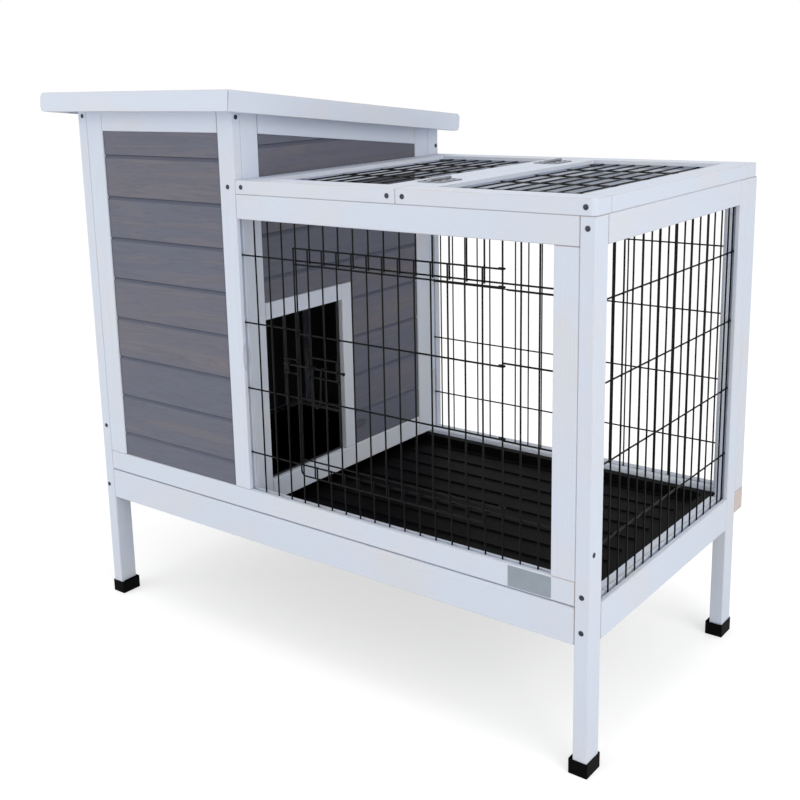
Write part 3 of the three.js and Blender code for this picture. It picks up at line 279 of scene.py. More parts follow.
# The faces inside the closed house get painted shade, a dark colour as deep as its shade is seen
# through the doorway. This reaches a little into the battens round it, from under the tray to the
# roof, and to the middle of the doorway's edges.
HOUSE_PAINTED_SHADE = srgb(46, 45, 48)
HOUSE_SHADE_STRENGTH = 0.94
HOUSE_SKIN = 0.00185
HOUSE_BELOW, HOUSE_ABOVE = 0.008, 0.0047
house_low = Vector((
    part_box("left_wall_bottom_rail")[1].x - HOUSE_SKIN,
    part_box("front_bottom_rail")[1].y - HOUSE_SKIN,
    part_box("tray")[0].z - HOUSE_BELOW,
))
house_high = Vector((
    sum(corner.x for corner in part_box("wall_front_stile")) / 2,
    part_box("back_left_stile")[0].y + HOUSE_SKIN,
    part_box("leg_front_left")[1].z + HOUSE_ABOVE,
))
house_middle = (house_low + house_high) / 2
house_half = (house_high - house_low) / 2


def grain(place, along, pith, tilt):
    """Growth rings and fibres of a batten: the summer wood's lines and the fine streaks."""
    axis = AXES[along]
    across = [a for a in range(3) if a != axis]
    slow = [9.0] * 3
    slow[axis] = 2.0
    fine = [420.0] * 3
    fine[axis] = 9.0
    shift = [dice.uniform(-3, 3) for _ in range(3)]
    parts = place.axes()
    sway = place.stretch(slow, shift).noise(2.0)
    swing = place.stretch(slow, shift[::-1]).noise(2.0)
    first = parts[across[0]] - pith[0] + parts[axis] * tilt + (sway - 0.5) * 0.030
    second = parts[across[1]] - pith[1] + (swing - 0.5) * 0.022
    rings = (first * first + second * second) ** 0.5 / RING
    phase = rings.maths("FRACT", rings)
    summer = phase ** 4.0 * (1 - phase).above(0.0, 0.10)
    fibre = place.stretch(fine, shift).noise(5.0, 0.6)
    return summer, fibre


def knots(place, along, chance):
    """Round dark knots, seldom and far apart."""
    scale = [17.0] * 3
    scale[AXES[along]] = 6.0
    shift = [dice.uniform(-3, 3) for _ in range(3)]
    spots = {"Vector": place.stretch(scale, shift), "Scale": 1.0, "Randomness": 0.9}
    distance = place.node("TexVoronoi", None, spots, output="Distance")
    pick = place.node("TexVoronoi", None, spots, output="Color")
    here = pick.axes()[0].above(1 - chance, 0.01)
    core = (0.16 - distance).above(0.0, 0.05)
    rim = (1 - abs(distance - 0.13) * 28).clamp()
    return core * here, rim * here


def edges(place, along, low, high, width, ends):
    """1 on the long edges, or at the ends, of a batten between two corners, over a width."""
    parts = place.axes()
    reach = []
    for axis in range(3):
        if (axis == AXES[along]) == ends:
            middle = (low[axis] + high[axis]) / 2
            half = (high[axis] - low[axis]) / 2
            reach.append(half - abs(parts[axis] - middle))
    inner = reach[0] if ends else place.maths("MAXIMUM", reach[0], reach[1])
    return (1 - inner / width).clamp()


def painted_house_shade(place):
    """1 in the closed house and as far as the middle of its doorway's edges, where painted shade lies."""
    away = place.stretch((1, 1, 1), [-middle for middle in house_middle]).axes()
    short = [half - abs(part) for part, half in zip(away, house_half)]
    nearest = place.maths("MINIMUM", place.maths("MINIMUM", short[0], short[1]), short[2])
    return nearest.above(0.0, 0.0005)


def whitewash(name, along, low, high, raw_end, tilt_back=0.0):
    """The washed fir of one batten between two corners, with its grain along an axis: raw_end is
    how bare its end grain is, and tilt_back the angle by which the piece is turned about X."""
    material, place = start(name)
    if tilt_back:
        turn = {"Vector": place, "Angle": tilt_back}
        place = place.node("VectorRotate", {"rotation_type": "X_AXIS"}, turn)
    pith = (dice.uniform(-0.07, 0.07), dice.choice((-1, 1)) * dice.uniform(0.02, 0.09))
    middle = [(low[a] + high[a]) / 2 for a in range(3) if a != AXES[along]]
    pith = [middle[0] + pith[0], middle[1] + pith[1]]
    summer, fibre = grain(place, along, pith, dice.uniform(-0.05, 0.05))
    core, rim = knots(place, along, KNOT_CHANCE)
    thin = place.stretch((7, 7, 7), [dice.uniform(-3, 3) for _ in range(3)]).noise(3.0)
    eased = edges(place, along, low, high, EASED_WIDTH, False) * fibre.above(0.42, 0.25)
    line = edges(place, along, low, high, JOINT_WIDTH, False) * (0.55 + fibre * 0.5)
    butt = edges(place, along, low, high, JOINT_WIDTH, True) * 0.95
    fir = summer.mix(FIR_LIGHT, FIR_DARK)
    wash = thin.above(0.48, 0.25).mix(WASH, WASH_THIN)
    cover = 0.975 - summer * 0.045 - fibre.above(0.55, 0.2) * 0.035 - thin.above(0.6, 0.2) * 0.03
    facing = place.node("TexCoord", output="Normal").axes()[AXES[along]]
    end = abs(facing).above(0.75, 0.1)
    cover = cover - eased * 0.16 - line * 0.42 - butt * (1 - end)
    colour = cover.mix(fir, wash)
    colour = (line * 0.26 + butt * (1 - end) * 0.72).mix(colour, JOINT)
    colour = (rim * 0.30 + core * 0.14).mix(colour, KNOT)
    colour = (end * raw_end).mix(colour, summer.mix(RAW_END, FIR_DARK))
    if not tilt_back:
        # Painted shade: the battens' faces inside the closed house are darkened as its shade looks.
        colour = (painted_house_shade(place) * HOUSE_SHADE_STRENGTH).mix(colour, HOUSE_PAINTED_SHADE)
    roughness = 0.56 + fibre * 0.16 + end * 0.1
    height = fibre * 0.6 + summer * 0.4
    return surface(material, colour, roughness, height, 0.00014)


def soften(node, width=0.00035, corner=math.radians(24)):
    """Rounds a piece's edges a little, as planing, sanding and paint do."""
    weld = node.modifiers.new("weld", "WELD")
    weld.merge_threshold = 1e-5
    plane = node.modifiers.new("plane", "DECIMATE")
    plane.decimate_type = "DISSOLVE"
    plane.angle_limit = math.radians(0.5)
    bevel = node.modifiers.new("bevel", "BEVEL")
    bevel.width = width
    bevel.segments = 2
    bevel.limit_method = "ANGLE"
    bevel.angle_limit = corner


def dress(node_name, material):
    nodes[node_name].material_slots[0].material = material


BATTENS = {
    "x": [
        "front_bottom_rail", "house_front_top_rail", "back_bottom_rail", "run_back_top_rail",
        "run_front_top_rail", "house_back_top_rail", "tray_front_board",
    ],
    "y": [
        "wall_top_rail", "wall_bottom_rail", "doorway_header", "left_wall_top_rail",
        "left_wall_bottom_rail", "run_side_top_rail", "run_side_bottom_rail",
        "tray_runner_left", "tray_runner_right",
    ],
    "z": [
        "leg_front_left", "leg_back_left", "leg_front_right", "leg_back_right",
        "house_front_left_stile", "house_front_right_stile", "wall_front_stile", "wall_back_stile",
        "doorway_jamb", "back_left_stile", "back_middle_stile", "back_right_stile",
        "run_front_right_stile",
    ],
}
RAW_USUAL = 0.25
RAW_ENDS = {"back_bottom_rail": 0.8, "tray_front_board": 0.4}

for run_along, names in BATTENS.items():
    for node_name in names:
        low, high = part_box(node_name)
        raw_end = RAW_ENDS.get(node_name, RAW_USUAL)
        dress(node_name, whitewash(node_name + "_wash", run_along, low, high, raw_end))
        soften(nodes[node_name])


# ---- Roof ---------------------------------------------------------------------------------
# Deck boards under mineral felt, with fascia boards nailed round three sides. The roof slopes
# down to the back, so its grain and its edges are worked out in a frame turned by the pitch.

ROOF_PITCH = math.radians(6)
ROOF_RAW_END = 0.2
ROOF_BATTENS = {
    "roof_deck": "x", "roof_fascia_front": "x", "roof_fascia_right": "y", "roof_fascia_left": "y",
}


def turned_box(node_name, angle):
    """A node's corners in a frame turned about X."""
    turn = Matrix.Rotation(angle, 3, "X")
    points = [turn @ vertex.co for vertex in nodes[node_name].data.vertices]
    return [[pick(p[a] for p in points) for a in range(3)] for pick in (min, max)]


for node_name, run_along in ROOF_BATTENS.items():
    low, high = turned_box(node_name, ROOF_PITCH)
    dress(node_name, whitewash(node_name + "_wash", run_along, low, high, ROOF_RAW_END, ROOF_PITCH))
    soften(nodes[node_name], 0.0006, math.radians(15))

felt, felt_place = start("mineral_felt")
grit = felt_place.stretch((900, 900, 900)).noise(2.0, 0.7)
flakes = {"Vector": felt_place, "Scale": 950.0}
flake = felt_place.node("TexVoronoi", None, flakes, output="Color").axes()[0]
cloud = felt_place.stretch((7, 7, 7)).noise(4.0)
felt_colour = (grit * 0.6 + flake * 0.4).above(0.25, 0.5).mix(srgb(40, 41, 43), srgb(104, 105, 108))
felt_colour = (cloud * 0.35).mix(felt_colour, srgb(70, 71, 72))
surface(felt, felt_colour, 0.92, grit * 0.5 + flake * 0.5, 0.0007)
dress("roof_felt", felt)
soften(nodes["roof_felt"], 0.0004)


# ---- Grey shiplap boards ------------------------------------------------------------------
# Fir boards in a thin blue-grey stain, laid level one over the other. Each board takes the stain
# in its own way, with brown streaks where the bare wood shows. Painted shade darkens the bevel along
# its top edge under the lap, and painted shade fills the seams and the ends where boards meet frames.

BOARD_PITCH = 0.0647
BEVEL_SHADE_WIDTH = 0.006
END_SHADE_WIDTH = 0.0016
STAIN = srgb(99, 102, 117)
STAIN_DEEP = srgb(76, 79, 94)
STAIN_BROWN = srgb(130, 118, 115)
STAIN_BEVEL_SHADE = srgb(72, 80, 103)
STAIN_KNOT = srgb(62, 58, 62)
STAIN_GAP_SHADE = srgb(28, 29, 36)
BOARD_KNOT_CHANCE = 0.12
FRONT_SEAM = 0.297
WALL_SEAM = 0.313
BOARDS = {
    "house_front_boards": ("x", FRONT_SEAM, ("y", 1)),
    "wall_boards": ("y", WALL_SEAM, ("x", -1)),
    "left_wall_boards": ("y", WALL_SEAM, ("x", 1)),
    "house_back_boards": ("x", WALL_SEAM, ("y", -1)),
}


def stain(name, along, seam, inner, ends):
    """The stained boards of one wall: seam is the height of one of the joints between them, inner
    the axis and the sign of the way that their backs look, into the house, and ends the places
    where the boards stop."""
    material, place = start(name)
    axis = AXES[along]
    rise = (place.axes()[2] - seam) / BOARD_PITCH
    index = place.maths("FLOOR", rise)
    within = rise - index
    lot = place.node("TexWhiteNoise", {"noise_dimensions": "1D"}, {"W": index}, output="Color")
    apart = place.node("VectorMath", {"operation": "MULTIPLY"}, {0: lot, 1: (3.1, 2.3, 1.7)})
    board = place.node("VectorMath", {"operation": "ADD"}, {0: place, 1: apart})
    long_way = [55.0] * 3
    long_way[axis] = 3.2
    fine = [520.0] * 3
    fine[axis] = 14.0
    figure = board.stretch(long_way).noise(4.0, 0.55, 0.6)
    fibre = board.stretch(fine).noise(4.0, 0.6)
    summer = place.maths("FRACT", figure * 9) ** 3.0 * 0.8
    patch = board.stretch((9, 9, 14)).noise(3.0)
    tone = lot.axes()[0]
    bare = figure.above(0.50, 0.22) * 0.45 + patch.above(0.5, 0.3) * 0.30 + tone * 0.30 - 0.14
    colour = (bare * (0.6 + fibre * 0.6)).mix(STAIN, STAIN_BROWN)
    colour = (summer * 0.35 + fibre.above(0.55, 0.25) * 0.20).mix(colour, STAIN_DEEP)
    core, rim = knots(board, along, BOARD_KNOT_CHANCE)
    colour = (core * 0.45 + rim * 0.35).mix(colour, STAIN_KNOT)
    # Painted shade along the bevel under each board's lap.
    bevel_shade = within.above(1 - BEVEL_SHADE_WIDTH / BOARD_PITCH, 0.01)
    colour = (bevel_shade * 0.50).mix(colour, STAIN_BEVEL_SHADE)
    # Painted shade in the seams between the boards and where they end at the frames.
    gap_shade = within.above(0.992, 0.004) + (0.010 - within).above(0.0, 0.004)
    stop = (ends[1] - ends[0]) / 2 - abs(place.axes()[axis] - (ends[0] + ends[1]) / 2)
    gap_shade = gap_shade * 0.62 + (END_SHADE_WIDTH - stop).above(0.0, 0.0006) * 0.75
    colour = gap_shade.mix(colour, STAIN_GAP_SHADE)
    inner_axis, inner_sign = inner
    looks = place.node("TexCoord", output="Normal").axes()[AXES[inner_axis]] * inner_sign
    # Painted shade on the boards' backs, which look into the closed house.
    colour = (looks.above(0.8, 0.1) * 0.9).mix(colour, HOUSE_PAINTED_SHADE)
    height = fibre * 0.5 + summer * 0.5
    return surface(material, colour, 0.58 + fibre * 0.22, height, 0.00025)


for node_name, (run_along, seam, inner) in BOARDS.items():
    ends = [corner[AXES[run_along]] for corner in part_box(node_name)]
    dress(node_name, stain(node_name + "_stain", run_along, seam, inner, ends))
    soften(nodes[node_name], 0.0003)


# ---- Welded wire panels -------------------------------------------------------------------
# Round steel wire, welded where it crosses and coated black. Uprights lie outside and level
# wires behind them, a little sunk into each other by the weld.

FIT = 0.3
WIRE = 2.4
WELD_SINK = 0.5
WELD_SWELL = 1.08
LAYER = WIRE - WELD_SINK
WAVE = 0.05
BOW = 0.12
WELD_REACH = 0.001
WELD_NEAR, WELD_FAR = 0.0005, 0.003
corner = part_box("leg_front_left")[0]
ORIGIN = Vector((corner.x - FIT / 2000, corner.y - FIT / 2000, 0))


def at(x, y, z):
    """Millimetres from the floor under the front left leg's outer corner, as a place."""
    return ORIGIN + Vector((x, y, z)) / 1000


def millimetres(node_name):
    """A node's lowest and highest corners in those millimetres."""
    return [(point - ORIGIN) * 1000 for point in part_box(node_name)]


def wavy(first, last, bow=BOW):
    """A wire that was straightened from a coil: its middle points stray a little. The bow is in
    millimetres."""
    steps = max(2, int((last - first).length / WAVE))
    points = []
    for step in range(steps + 1):
        stray = 0 if step in (0, steps) else bow / 1000
        point = first.lerp(last, step / steps)
        points.append(point + Vector([dice.uniform(-stray, stray) for _ in range(3)]))
    return points


def round_wire(name, paths, diameters):
    """One mesh of round wires that follow paths of points, each with its diameter in
    millimetres."""
    curve = bpy.data.curves.new(name, "CURVE")
    curve.dimensions = "3D"
    curve.bevel_depth = 0.001
    curve.bevel_resolution = 3
    curve.use_fill_caps = True
    for path, diameter in zip(paths, diameters):
        spline = curve.splines.new("POLY")
        spline.points.add(len(path) - 1)
        for point, spot in zip(spline.points, path):
            point.co = (*spot, 1)
            point.radius = diameter / 2
    drawn = bpy.data.objects.new(name + "_drawn", curve)
    bpy.context.scene.collection.objects.link(drawn)
    graph = bpy.context.evaluated_depsgraph_get()
    mesh = bpy.data.meshes.new_from_object(drawn.evaluated_get(graph))
    mesh.name = name
    mesh.polygons.foreach_set("use_smooth", [len(face.vertices) == 4 for face in mesh.polygons])
    bpy.data.objects.remove(drawn)
    made = bpy.data.objects.new(name, mesh)
    bpy.context.scene.collection.objects.link(made)
    return made


def on_wire(point, first, last):
    """Whether a point of a wire's line lies between its ends, or only just past them."""
    along = (point - first).dot((last - first).normalized())
    return -WELD_REACH < along < (last - first).length + WELD_REACH


def welds(wires):
    """The short thick spots where straight wires touch, from one wire's middle to the other's."""
    spots = []
    for (a0, a1), (b0, b1) in itertools.combinations(wires, 2):
        near = intersect_line_line(a0, a1, b0, b1)
        if near is None:
            continue
        on_a, on_b = near
        inside = on_wire(on_a, a0, a1) and on_wire(on_b, b0, b1)
        if inside and WELD_NEAR < (on_a - on_b).length < WELD_FAR:
            spots.append([on_a, on_b])
    return spots


def welded(name, node_name, body, straight, bent=()):
    """A panel of straight wires with welds, and bent ones, that stands for a node."""
    paths = [wavy(first, last) for first, last in straight] + list(bent)
    sizes = [WIRE] * len(paths)
    spots = welds(straight)
    made = round_wire(name, paths + spots, sizes + [WIRE * WELD_SWELL] * len(spots))
    made.data.materials.append(black_wire)
    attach(made, body)
    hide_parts(node_name)


black_wire, wire_place = start("black_coated_wire")
wire_mottle = wire_place.stretch((60, 60, 60)).noise(3.0)
wire_grain = wire_place.stretch((900, 900, 900)).noise(2.0)
wire_rub = wire_place.stretch((140, 140, 140), (2, 1, 4)).noise(4.0).above(0.66, 0.05)
wire_colour = wire_mottle.mix(srgb(3, 3, 4), srgb(13, 13, 14))
wire_colour = (wire_rub * 0.2).mix(wire_colour, srgb(52, 52, 54))
wire_gloss = {"Specular IOR Level": 0.10}
wire_rough = 0.24 + wire_grain * 0.16 + wire_rub * 0.1
surface(black_wire, wire_colour, wire_rough, wire_grain, 0.00005, wire_gloss)

FRONT_PITCH = 25.5
FRONT_FIRST = 366.7
FRONT_COUNT = 19
FRONT_TOP_LEVEL = 612.5
FRONT_LEVEL_PITCH = 99.2
FRONT_LEVELS = [FRONT_TOP_LEVEL - FRONT_LEVEL_PITCH * row for row in range(4)]
UPRIGHT_Y = 8
STAY_DROP = 7.5
DOOR_LEFT, DOOR_HINGE = 3, 16
BOLT_Z = 465
KEEPER_Z = (451, 471)
GUIDE_Z = (452, 480)
EYE_PLAY = 0.35
DOOR_EYE = WIRE + EYE_PLAY
DOOR_LEVEL_Y = UPRIGHT_Y - DOOR_EYE
DOOR_UPRIGHT_Y = DOOR_LEVEL_Y - LAYER
BOLT_RADIUS = 1.5
BOLT_Y = DOOR_UPRIGHT_Y - WIRE / 2 - FIT - BOLT_RADIUS
STAPLE_Y = BOLT_Y - BOLT_RADIUS - FIT - WIRE / 2
STAPLE_BEND = 4


def front_x(index):
    return FRONT_FIRST + FRONT_PITCH * index


def staple(x, arm_y, bottom, top):
    """A staple's bridge: from one arm out over the bolt and back to the other."""
    out = arm_y - STAPLE_Y
    upper = [(arm_y - out * math.sin(turn), top - STAPLE_BEND * (1 - math.cos(turn)))
             for turn in (math.pi / 2 * step / 6 for step in range(7))]
    lower = [(y, bottom + top - z) for y, z in reversed(upper)]
    return [at(x, y, z) for y, z in upper + lower]


low, high = millimetres("front_grille")
front_wires = []
for index in range(FRONT_COUNT):
    x = front_x(index)
    spans = [(low.z, high.z)]
    if DOOR_LEFT < index < DOOR_HINGE:
        spans = [(low.z, FRONT_LEVELS[-1] + WIRE), (FRONT_LEVELS[0] - WIRE, high.z)]
    front_wires += [(at(x, UPRIGHT_Y, z0), at(x, UPRIGHT_Y, z1)) for z0, z1 in spans]
for row, z in enumerate(FRONT_LEVELS):
    spans = [(low.x, high.x)]
    if row in (1, 2):
        spans = [(low.x, front_x(DOOR_LEFT) + WIRE), (front_x(DOOR_HINGE) - WIRE / 2, high.x)]
    front_wires += [(at(x0, UPRIGHT_Y + LAYER, z), at(x1, UPRIGHT_Y + LAYER, z)) for x0, x1 in spans]
stay_z = FRONT_TOP_LEVEL - STAY_DROP
stay_x = front_x(DOOR_HINGE) + DOOR_EYE + WIRE
front_wires.append((at(stay_x, UPRIGHT_Y + LAYER, stay_z), at(high.x, UPRIGHT_Y + LAYER, stay_z)))
keeper = (front_x(DOOR_LEFT - 1), front_x(DOOR_LEFT))
keeper_y = UPRIGHT_Y - LAYER
for z in KEEPER_Z:
    front_wires.append((at(keeper[0] - WIRE, keeper_y, z), at(keeper[1] + WIRE, keeper_y, z)))
keeper_bridge = staple(sum(keeper) / 2, keeper_y, *KEEPER_Z)
welded("front_wire_panel", "front_grille", "hutch_frame", front_wires, [keeper_bridge])

SIDE_TOP_LEVEL = 598
SIDE_LEVEL_PITCH = 101.6
SIDE_LEVELS = [SIDE_TOP_LEVEL - SIDE_LEVEL_PITCH * row for row in range(4)]
MESH_PITCH = 25.4
SIDE_FIRST, SIDE_COUNT, SIDE_LAST = 40, 16, 437.5
BACK_FIRST, BACK_COUNT = 354.1, 21
BACK_Y = 489

low, high = millimetres("side_grille")
side_x = high.x - WIRE / 2
side_places = [SIDE_FIRST + MESH_PITCH * index for index in range(SIDE_COUNT)] + [SIDE_LAST]
side_wires = [(at(side_x, y, low.z), at(side_x, y, high.z)) for y in side_places]
side_wires += [(at(side_x - LAYER, low.y, z), at(side_x - LAYER, high.y, z)) for z in SIDE_LEVELS]
welded("side_wire_panel", "side_grille", "hutch_frame", side_wires)

low, high = millimetres("back_grille")
back_places = [BACK_FIRST + MESH_PITCH * index for index in range(BACK_COUNT)]
back_wires = [(at(x, BACK_Y, low.z), at(x, BACK_Y, high.z)) for x in back_places]
back_wires += [(at(low.x, BACK_Y - LAYER, z), at(high.x, BACK_Y - LAYER, z)) for z in SIDE_LEVELS]
welded("back_wire_panel", "back_grille", "hutch_frame", back_wires)

LID_BAR = 38
LID_WIRE_Z = 713.5
LID_DEPTH = 504
LID_CROSSES = 4
LID_WIRES = 8
LID_END_BAY = 0.75
HOUSE_RIGHT, LID_JOINT, RUN_RIGHT = 341, 622, 900
LIDS = {
    "fixed": (HOUSE_RIGHT, LID_JOINT, "hutch_frame"),
    "hinged": (LID_JOINT, RUN_RIGHT, "run_lid"),
}


def lid_wires(node_name, from_x, to_x):
    """The wires of one lid: along its depth on top, and across its width under them, where the
    first and the last bay are narrower than the others."""
    low, high = millimetres(node_name)
    middle = (from_x + to_x) / 2
    wires = []
    for index in range(LID_WIRES):
        x = middle + MESH_PITCH * (index - (LID_WIRES - 1) / 2)
        wires.append((at(x, low.y, LID_WIRE_Z), at(x, high.y, LID_WIRE_Z)))
    pitch = (LID_DEPTH - 2 * LID_BAR) / (LID_CROSSES - 1 + 2 * LID_END_BAY)
    for index in range(LID_CROSSES):
        y = LID_BAR + pitch * (index + LID_END_BAY)
        z = LID_WIRE_Z - LAYER
        wires.append((at(low.x, y, z), at(high.x, y, z)))
    return wires


for lid_name, (from_x, to_x, body) in LIDS.items():
    node_name = lid_name + "_lid_grille"
    wires = lid_wires(node_name, from_x, to_x)
    welded(lid_name + "_lid_wire_panel", node_name, body, wires)


# ---- Wire door ----------------------------------------------------------------------------
# A welded panel of the same wire that hangs on one upright of the front by eyes, which are the
# ends of its level wires wrapped round that upright. Its lower free corner is one bent wire.

DOOR_TOP, DOOR_BOTTOM = 630.5, 301.9
DOOR_LEVELS = (DOOR_TOP, 608, 510, 416.8, 325.9)
DOOR_BEND = 8
EYE_START, EYE_LAP = 4, 0.1
EYE_TAIL = 7
hinge_x = front_x(DOOR_HINGE)
free_x = front_x(DOOR_LEFT)


def eye(z):
    """The wrapped end of a level wire: round the upright and back along it."""
    turns = [math.radians(-90 + 15 * step) for step in range(13)]
    ring = [at(hinge_x + DOOR_EYE * math.cos(t), UPRIGHT_Y + DOOR_EYE * math.sin(t), z) for t in turns]
    tail = at(hinge_x - EYE_TAIL, UPRIGHT_Y + DOOR_EYE, z)
    return [at(hinge_x - EYE_START, DOOR_LEVEL_Y, z)] + ring + [tail]


door_wires = [
    (at(free_x - WIRE / 2, DOOR_LEVEL_Y, z), at(hinge_x - EYE_START + EYE_LAP, DOOR_LEVEL_Y, z))
    for z in DOOR_LEVELS
]
for index in range(DOOR_LEFT + 1, DOOR_HINGE):
    x = front_x(index)
    door_wires.append((at(x, DOOR_UPRIGHT_Y, DOOR_BOTTOM), at(x, DOOR_UPRIGHT_Y, DOOR_TOP + WIRE / 2)))
guide = (front_x(DOOR_LEFT + 1), front_x(DOOR_LEFT + 3))
guide_y = DOOR_UPRIGHT_Y - LAYER
for z in GUIDE_Z:
    door_wires.append((at(guide[0] - WIRE, guide_y, z), at(guide[1] + WIRE, guide_y, z)))
turns = [math.pi * (1 + 0.5 * step / 8) for step in range(9)]
frame_wire = [at(free_x, DOOR_UPRIGHT_Y, DOOR_TOP + WIRE / 2)] + [
    at(free_x + DOOR_BEND * (1 + math.cos(t)), DOOR_UPRIGHT_Y, DOOR_BOTTOM + DOOR_BEND * (1 + math.sin(t)))
    for t in turns
] + [at(front_x(DOOR_HINGE - 1) + WIRE, DOOR_UPRIGHT_Y, DOOR_BOTTOM)]
door_bent = [frame_wire] + [eye(z) for z in DOOR_LEVELS]
door_bent += [staple(x, guide_y, *GUIDE_Z) for x in guide]
welded("wire_door_panel", "wire_door", "run_door", door_wires, door_bent)


# ---- Latch bolt ---------------------------------------------------------------------------
# A sliding wire bolt with a ball pressed on its free end, and a loop of thinner wire that hangs
# on it as the finger pull, its ends curled round the bolt.

BALL_RADIUS = 2.4
PULL_WIRE = 2.0
PULL_SINK = 0.15
PULL_INSETS = (54, 39)
PULL_FORWARD, PULL_ROUND = 0.0005, 0.0085
BOLT_BOW = 0.03
BOLT_PAST_GUIDE = 10
BOLT_END = front_x(DOOR_LEFT + 3) + BOLT_PAST_GUIDE
pull_x = [BOLT_END - inset for inset in PULL_INSETS]
bolt_start = front_x(DOOR_LEFT - 1) + WIRE


def pull_leg(x, lean):
    """One leg of the pull: curled over the bolt from behind, then down in front of it."""
    ring = BOLT_RADIUS + PULL_WIRE / 2 - PULL_SINK
    curl = [at(x, BOLT_Y + ring * math.cos(t), BOLT_Z + ring * math.sin(t))
            for t in (math.radians(-40 + 20 * step) for step in range(13))]
    front = BOLT_Y - ring - 1
    drop = [(0.0, 0, 8), (0.1 * lean, -0.4, 18), (0.35 * lean, -0.9, 32), (0.8 * lean, -1.5, 46)]
    return curl + [at(x + aside, front + ahead, BOLT_Z - down) for aside, ahead, down in drop]


left_leg = pull_leg(pull_x[0], 3)
right_leg = pull_leg(pull_x[1], -1)
foot_left, foot_right = left_leg[-1], right_leg[-1]
half_width = (foot_right.x - foot_left.x) / 2
middle = (foot_left + foot_right) / 2
foot = []
for step in range(1, 12):
    t = math.pi * step / 12
    foot.append(middle + Vector((-half_width * math.cos(t), -PULL_FORWARD, -PULL_ROUND * math.sin(t))))
bolt = round_wire(
    "latch_bolt",
    [
        wavy(at(bolt_start, BOLT_Y, BOLT_Z), at(BOLT_END, BOLT_Y, BOLT_Z), BOLT_BOW),
        left_leg + foot + right_leg[::-1],
    ],
    [2 * BOLT_RADIUS, PULL_WIRE],
)
ball = bmesh.new()
ball.from_mesh(bolt.data)
ball_middle = at(BOLT_END, BOLT_Y + BOLT_RADIUS - BALL_RADIUS, BOLT_Z)
ball_seat = Matrix.Translation(ball_middle)
added = bmesh.ops.create_uvsphere(
    ball, u_segments=20, v_segments=12, radius=BALL_RADIUS / 1000, matrix=ball_seat,
)
for vertex in added["verts"]:
    for face in vertex.link_faces:
        face.smooth = True
ball.to_mesh(bolt.data)
ball.free()
bolt.data.materials.append(black_wire)
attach(bolt, "door_latch")
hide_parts("door_latch_bolt")


# ---- Lid frames ---------------------------------------------------------------------------
# Each lid is four bars of whitewashed fir, the front and back ones running its whole width and
# screwed into the ends of the side ones, grooved inside for the wire ends.

BAR_GAP = 0.12
LID_CORNER = 8
LID_GROOVE = 8
LID_Z = (701.15, 720.85)
GROOVE_Z = (LID_WIRE_Z - LAYER - WIRE / 2 - FIT, LID_WIRE_Z + WIRE / 2 + FIT)


def bar(name, along, across, length, open_ends):
    """A bar from its outer to its inner face, across, with a groove in the inner face for the
    wire ends. Where open_ends is false, the groove stops short of the bar's ends."""
    made = mesh_object(name, [], [])
    outer, inner = across
    side = 1 if inner > outer else -1
    u, v = (0, 1) if along == "x" else (1, 0)
    shape = bmesh.new()
    bmesh.ops.create_cube(shape, size=1)
    for vertex in shape.verts:
        spot = [0, 0, LID_Z[vertex.co.z > 0]]
        spot[u] = length[vertex.co[u] > 0]
        spot[v] = sorted(across)[vertex.co[v] > 0]
        vertex.co = at(*spot)
    cuts = [(2, z) for z in GROOVE_Z]
    if not open_ends:
        cuts += [(u, length[0] + LID_BAR - LID_GROOVE), (u, length[1] - LID_BAR + LID_GROOVE)]
    for axis, place in cuts:
        spot, normal = [0, 0, 0], [0, 0, 0]
        spot[axis], normal[axis] = place, 1
        everything = shape.verts[:] + shape.edges[:] + shape.faces[:]
        bmesh.ops.bisect_plane(shape, geom=everything, plane_co=at(*spot), plane_no=normal)
    inner_face = at(inner, inner, 0)[v]
    middle_z = sum(GROOVE_Z) / 2000
    mouth = [
        face for face in shape.faces
        if abs(face.calc_center_median()[v] - inner_face) < 1e-5
        and abs(face.calc_center_median().z - middle_z) < 1e-4
        and (open_ends or face.calc_area() > 1e-3)
    ]
    walls = bmesh.ops.extrude_face_region(shape, geom=mouth)
    bmesh.ops.delete(shape, geom=mouth, context="FACES")
    inwards = Vector((0, 0, 0))
    inwards[v] = -side * LID_GROOVE / 1000
    moved = [part for part in walls["geom"] if isinstance(part, bmesh.types.BMVert)]
    bmesh.ops.translate(shape, verts=moved, vec=inwards)
    bmesh.ops.recalc_face_normals(shape, faces=shape.faces[:])
    shape.to_mesh(made.data)
    shape.free()
    return made


def round_corner(piece, x, y):
    """Rounds the upright edge of a bar at a free corner of its lid."""
    shape = bmesh.new()
    shape.from_mesh(piece.data)
    spot = at(x, y, 0)
    edges = [
        edge for edge in shape.edges
        if all(abs(v.co.x - spot.x) < 1e-4 and abs(v.co.y - spot.y) < 1e-4 for v in edge.verts)
    ]
    offset = LID_CORNER / 1000
    bmesh.ops.bevel(shape, geom=edges, offset=offset, segments=8, profile=0.5, affect="EDGES")
    shape.to_mesh(piece.data)
    shape.free()


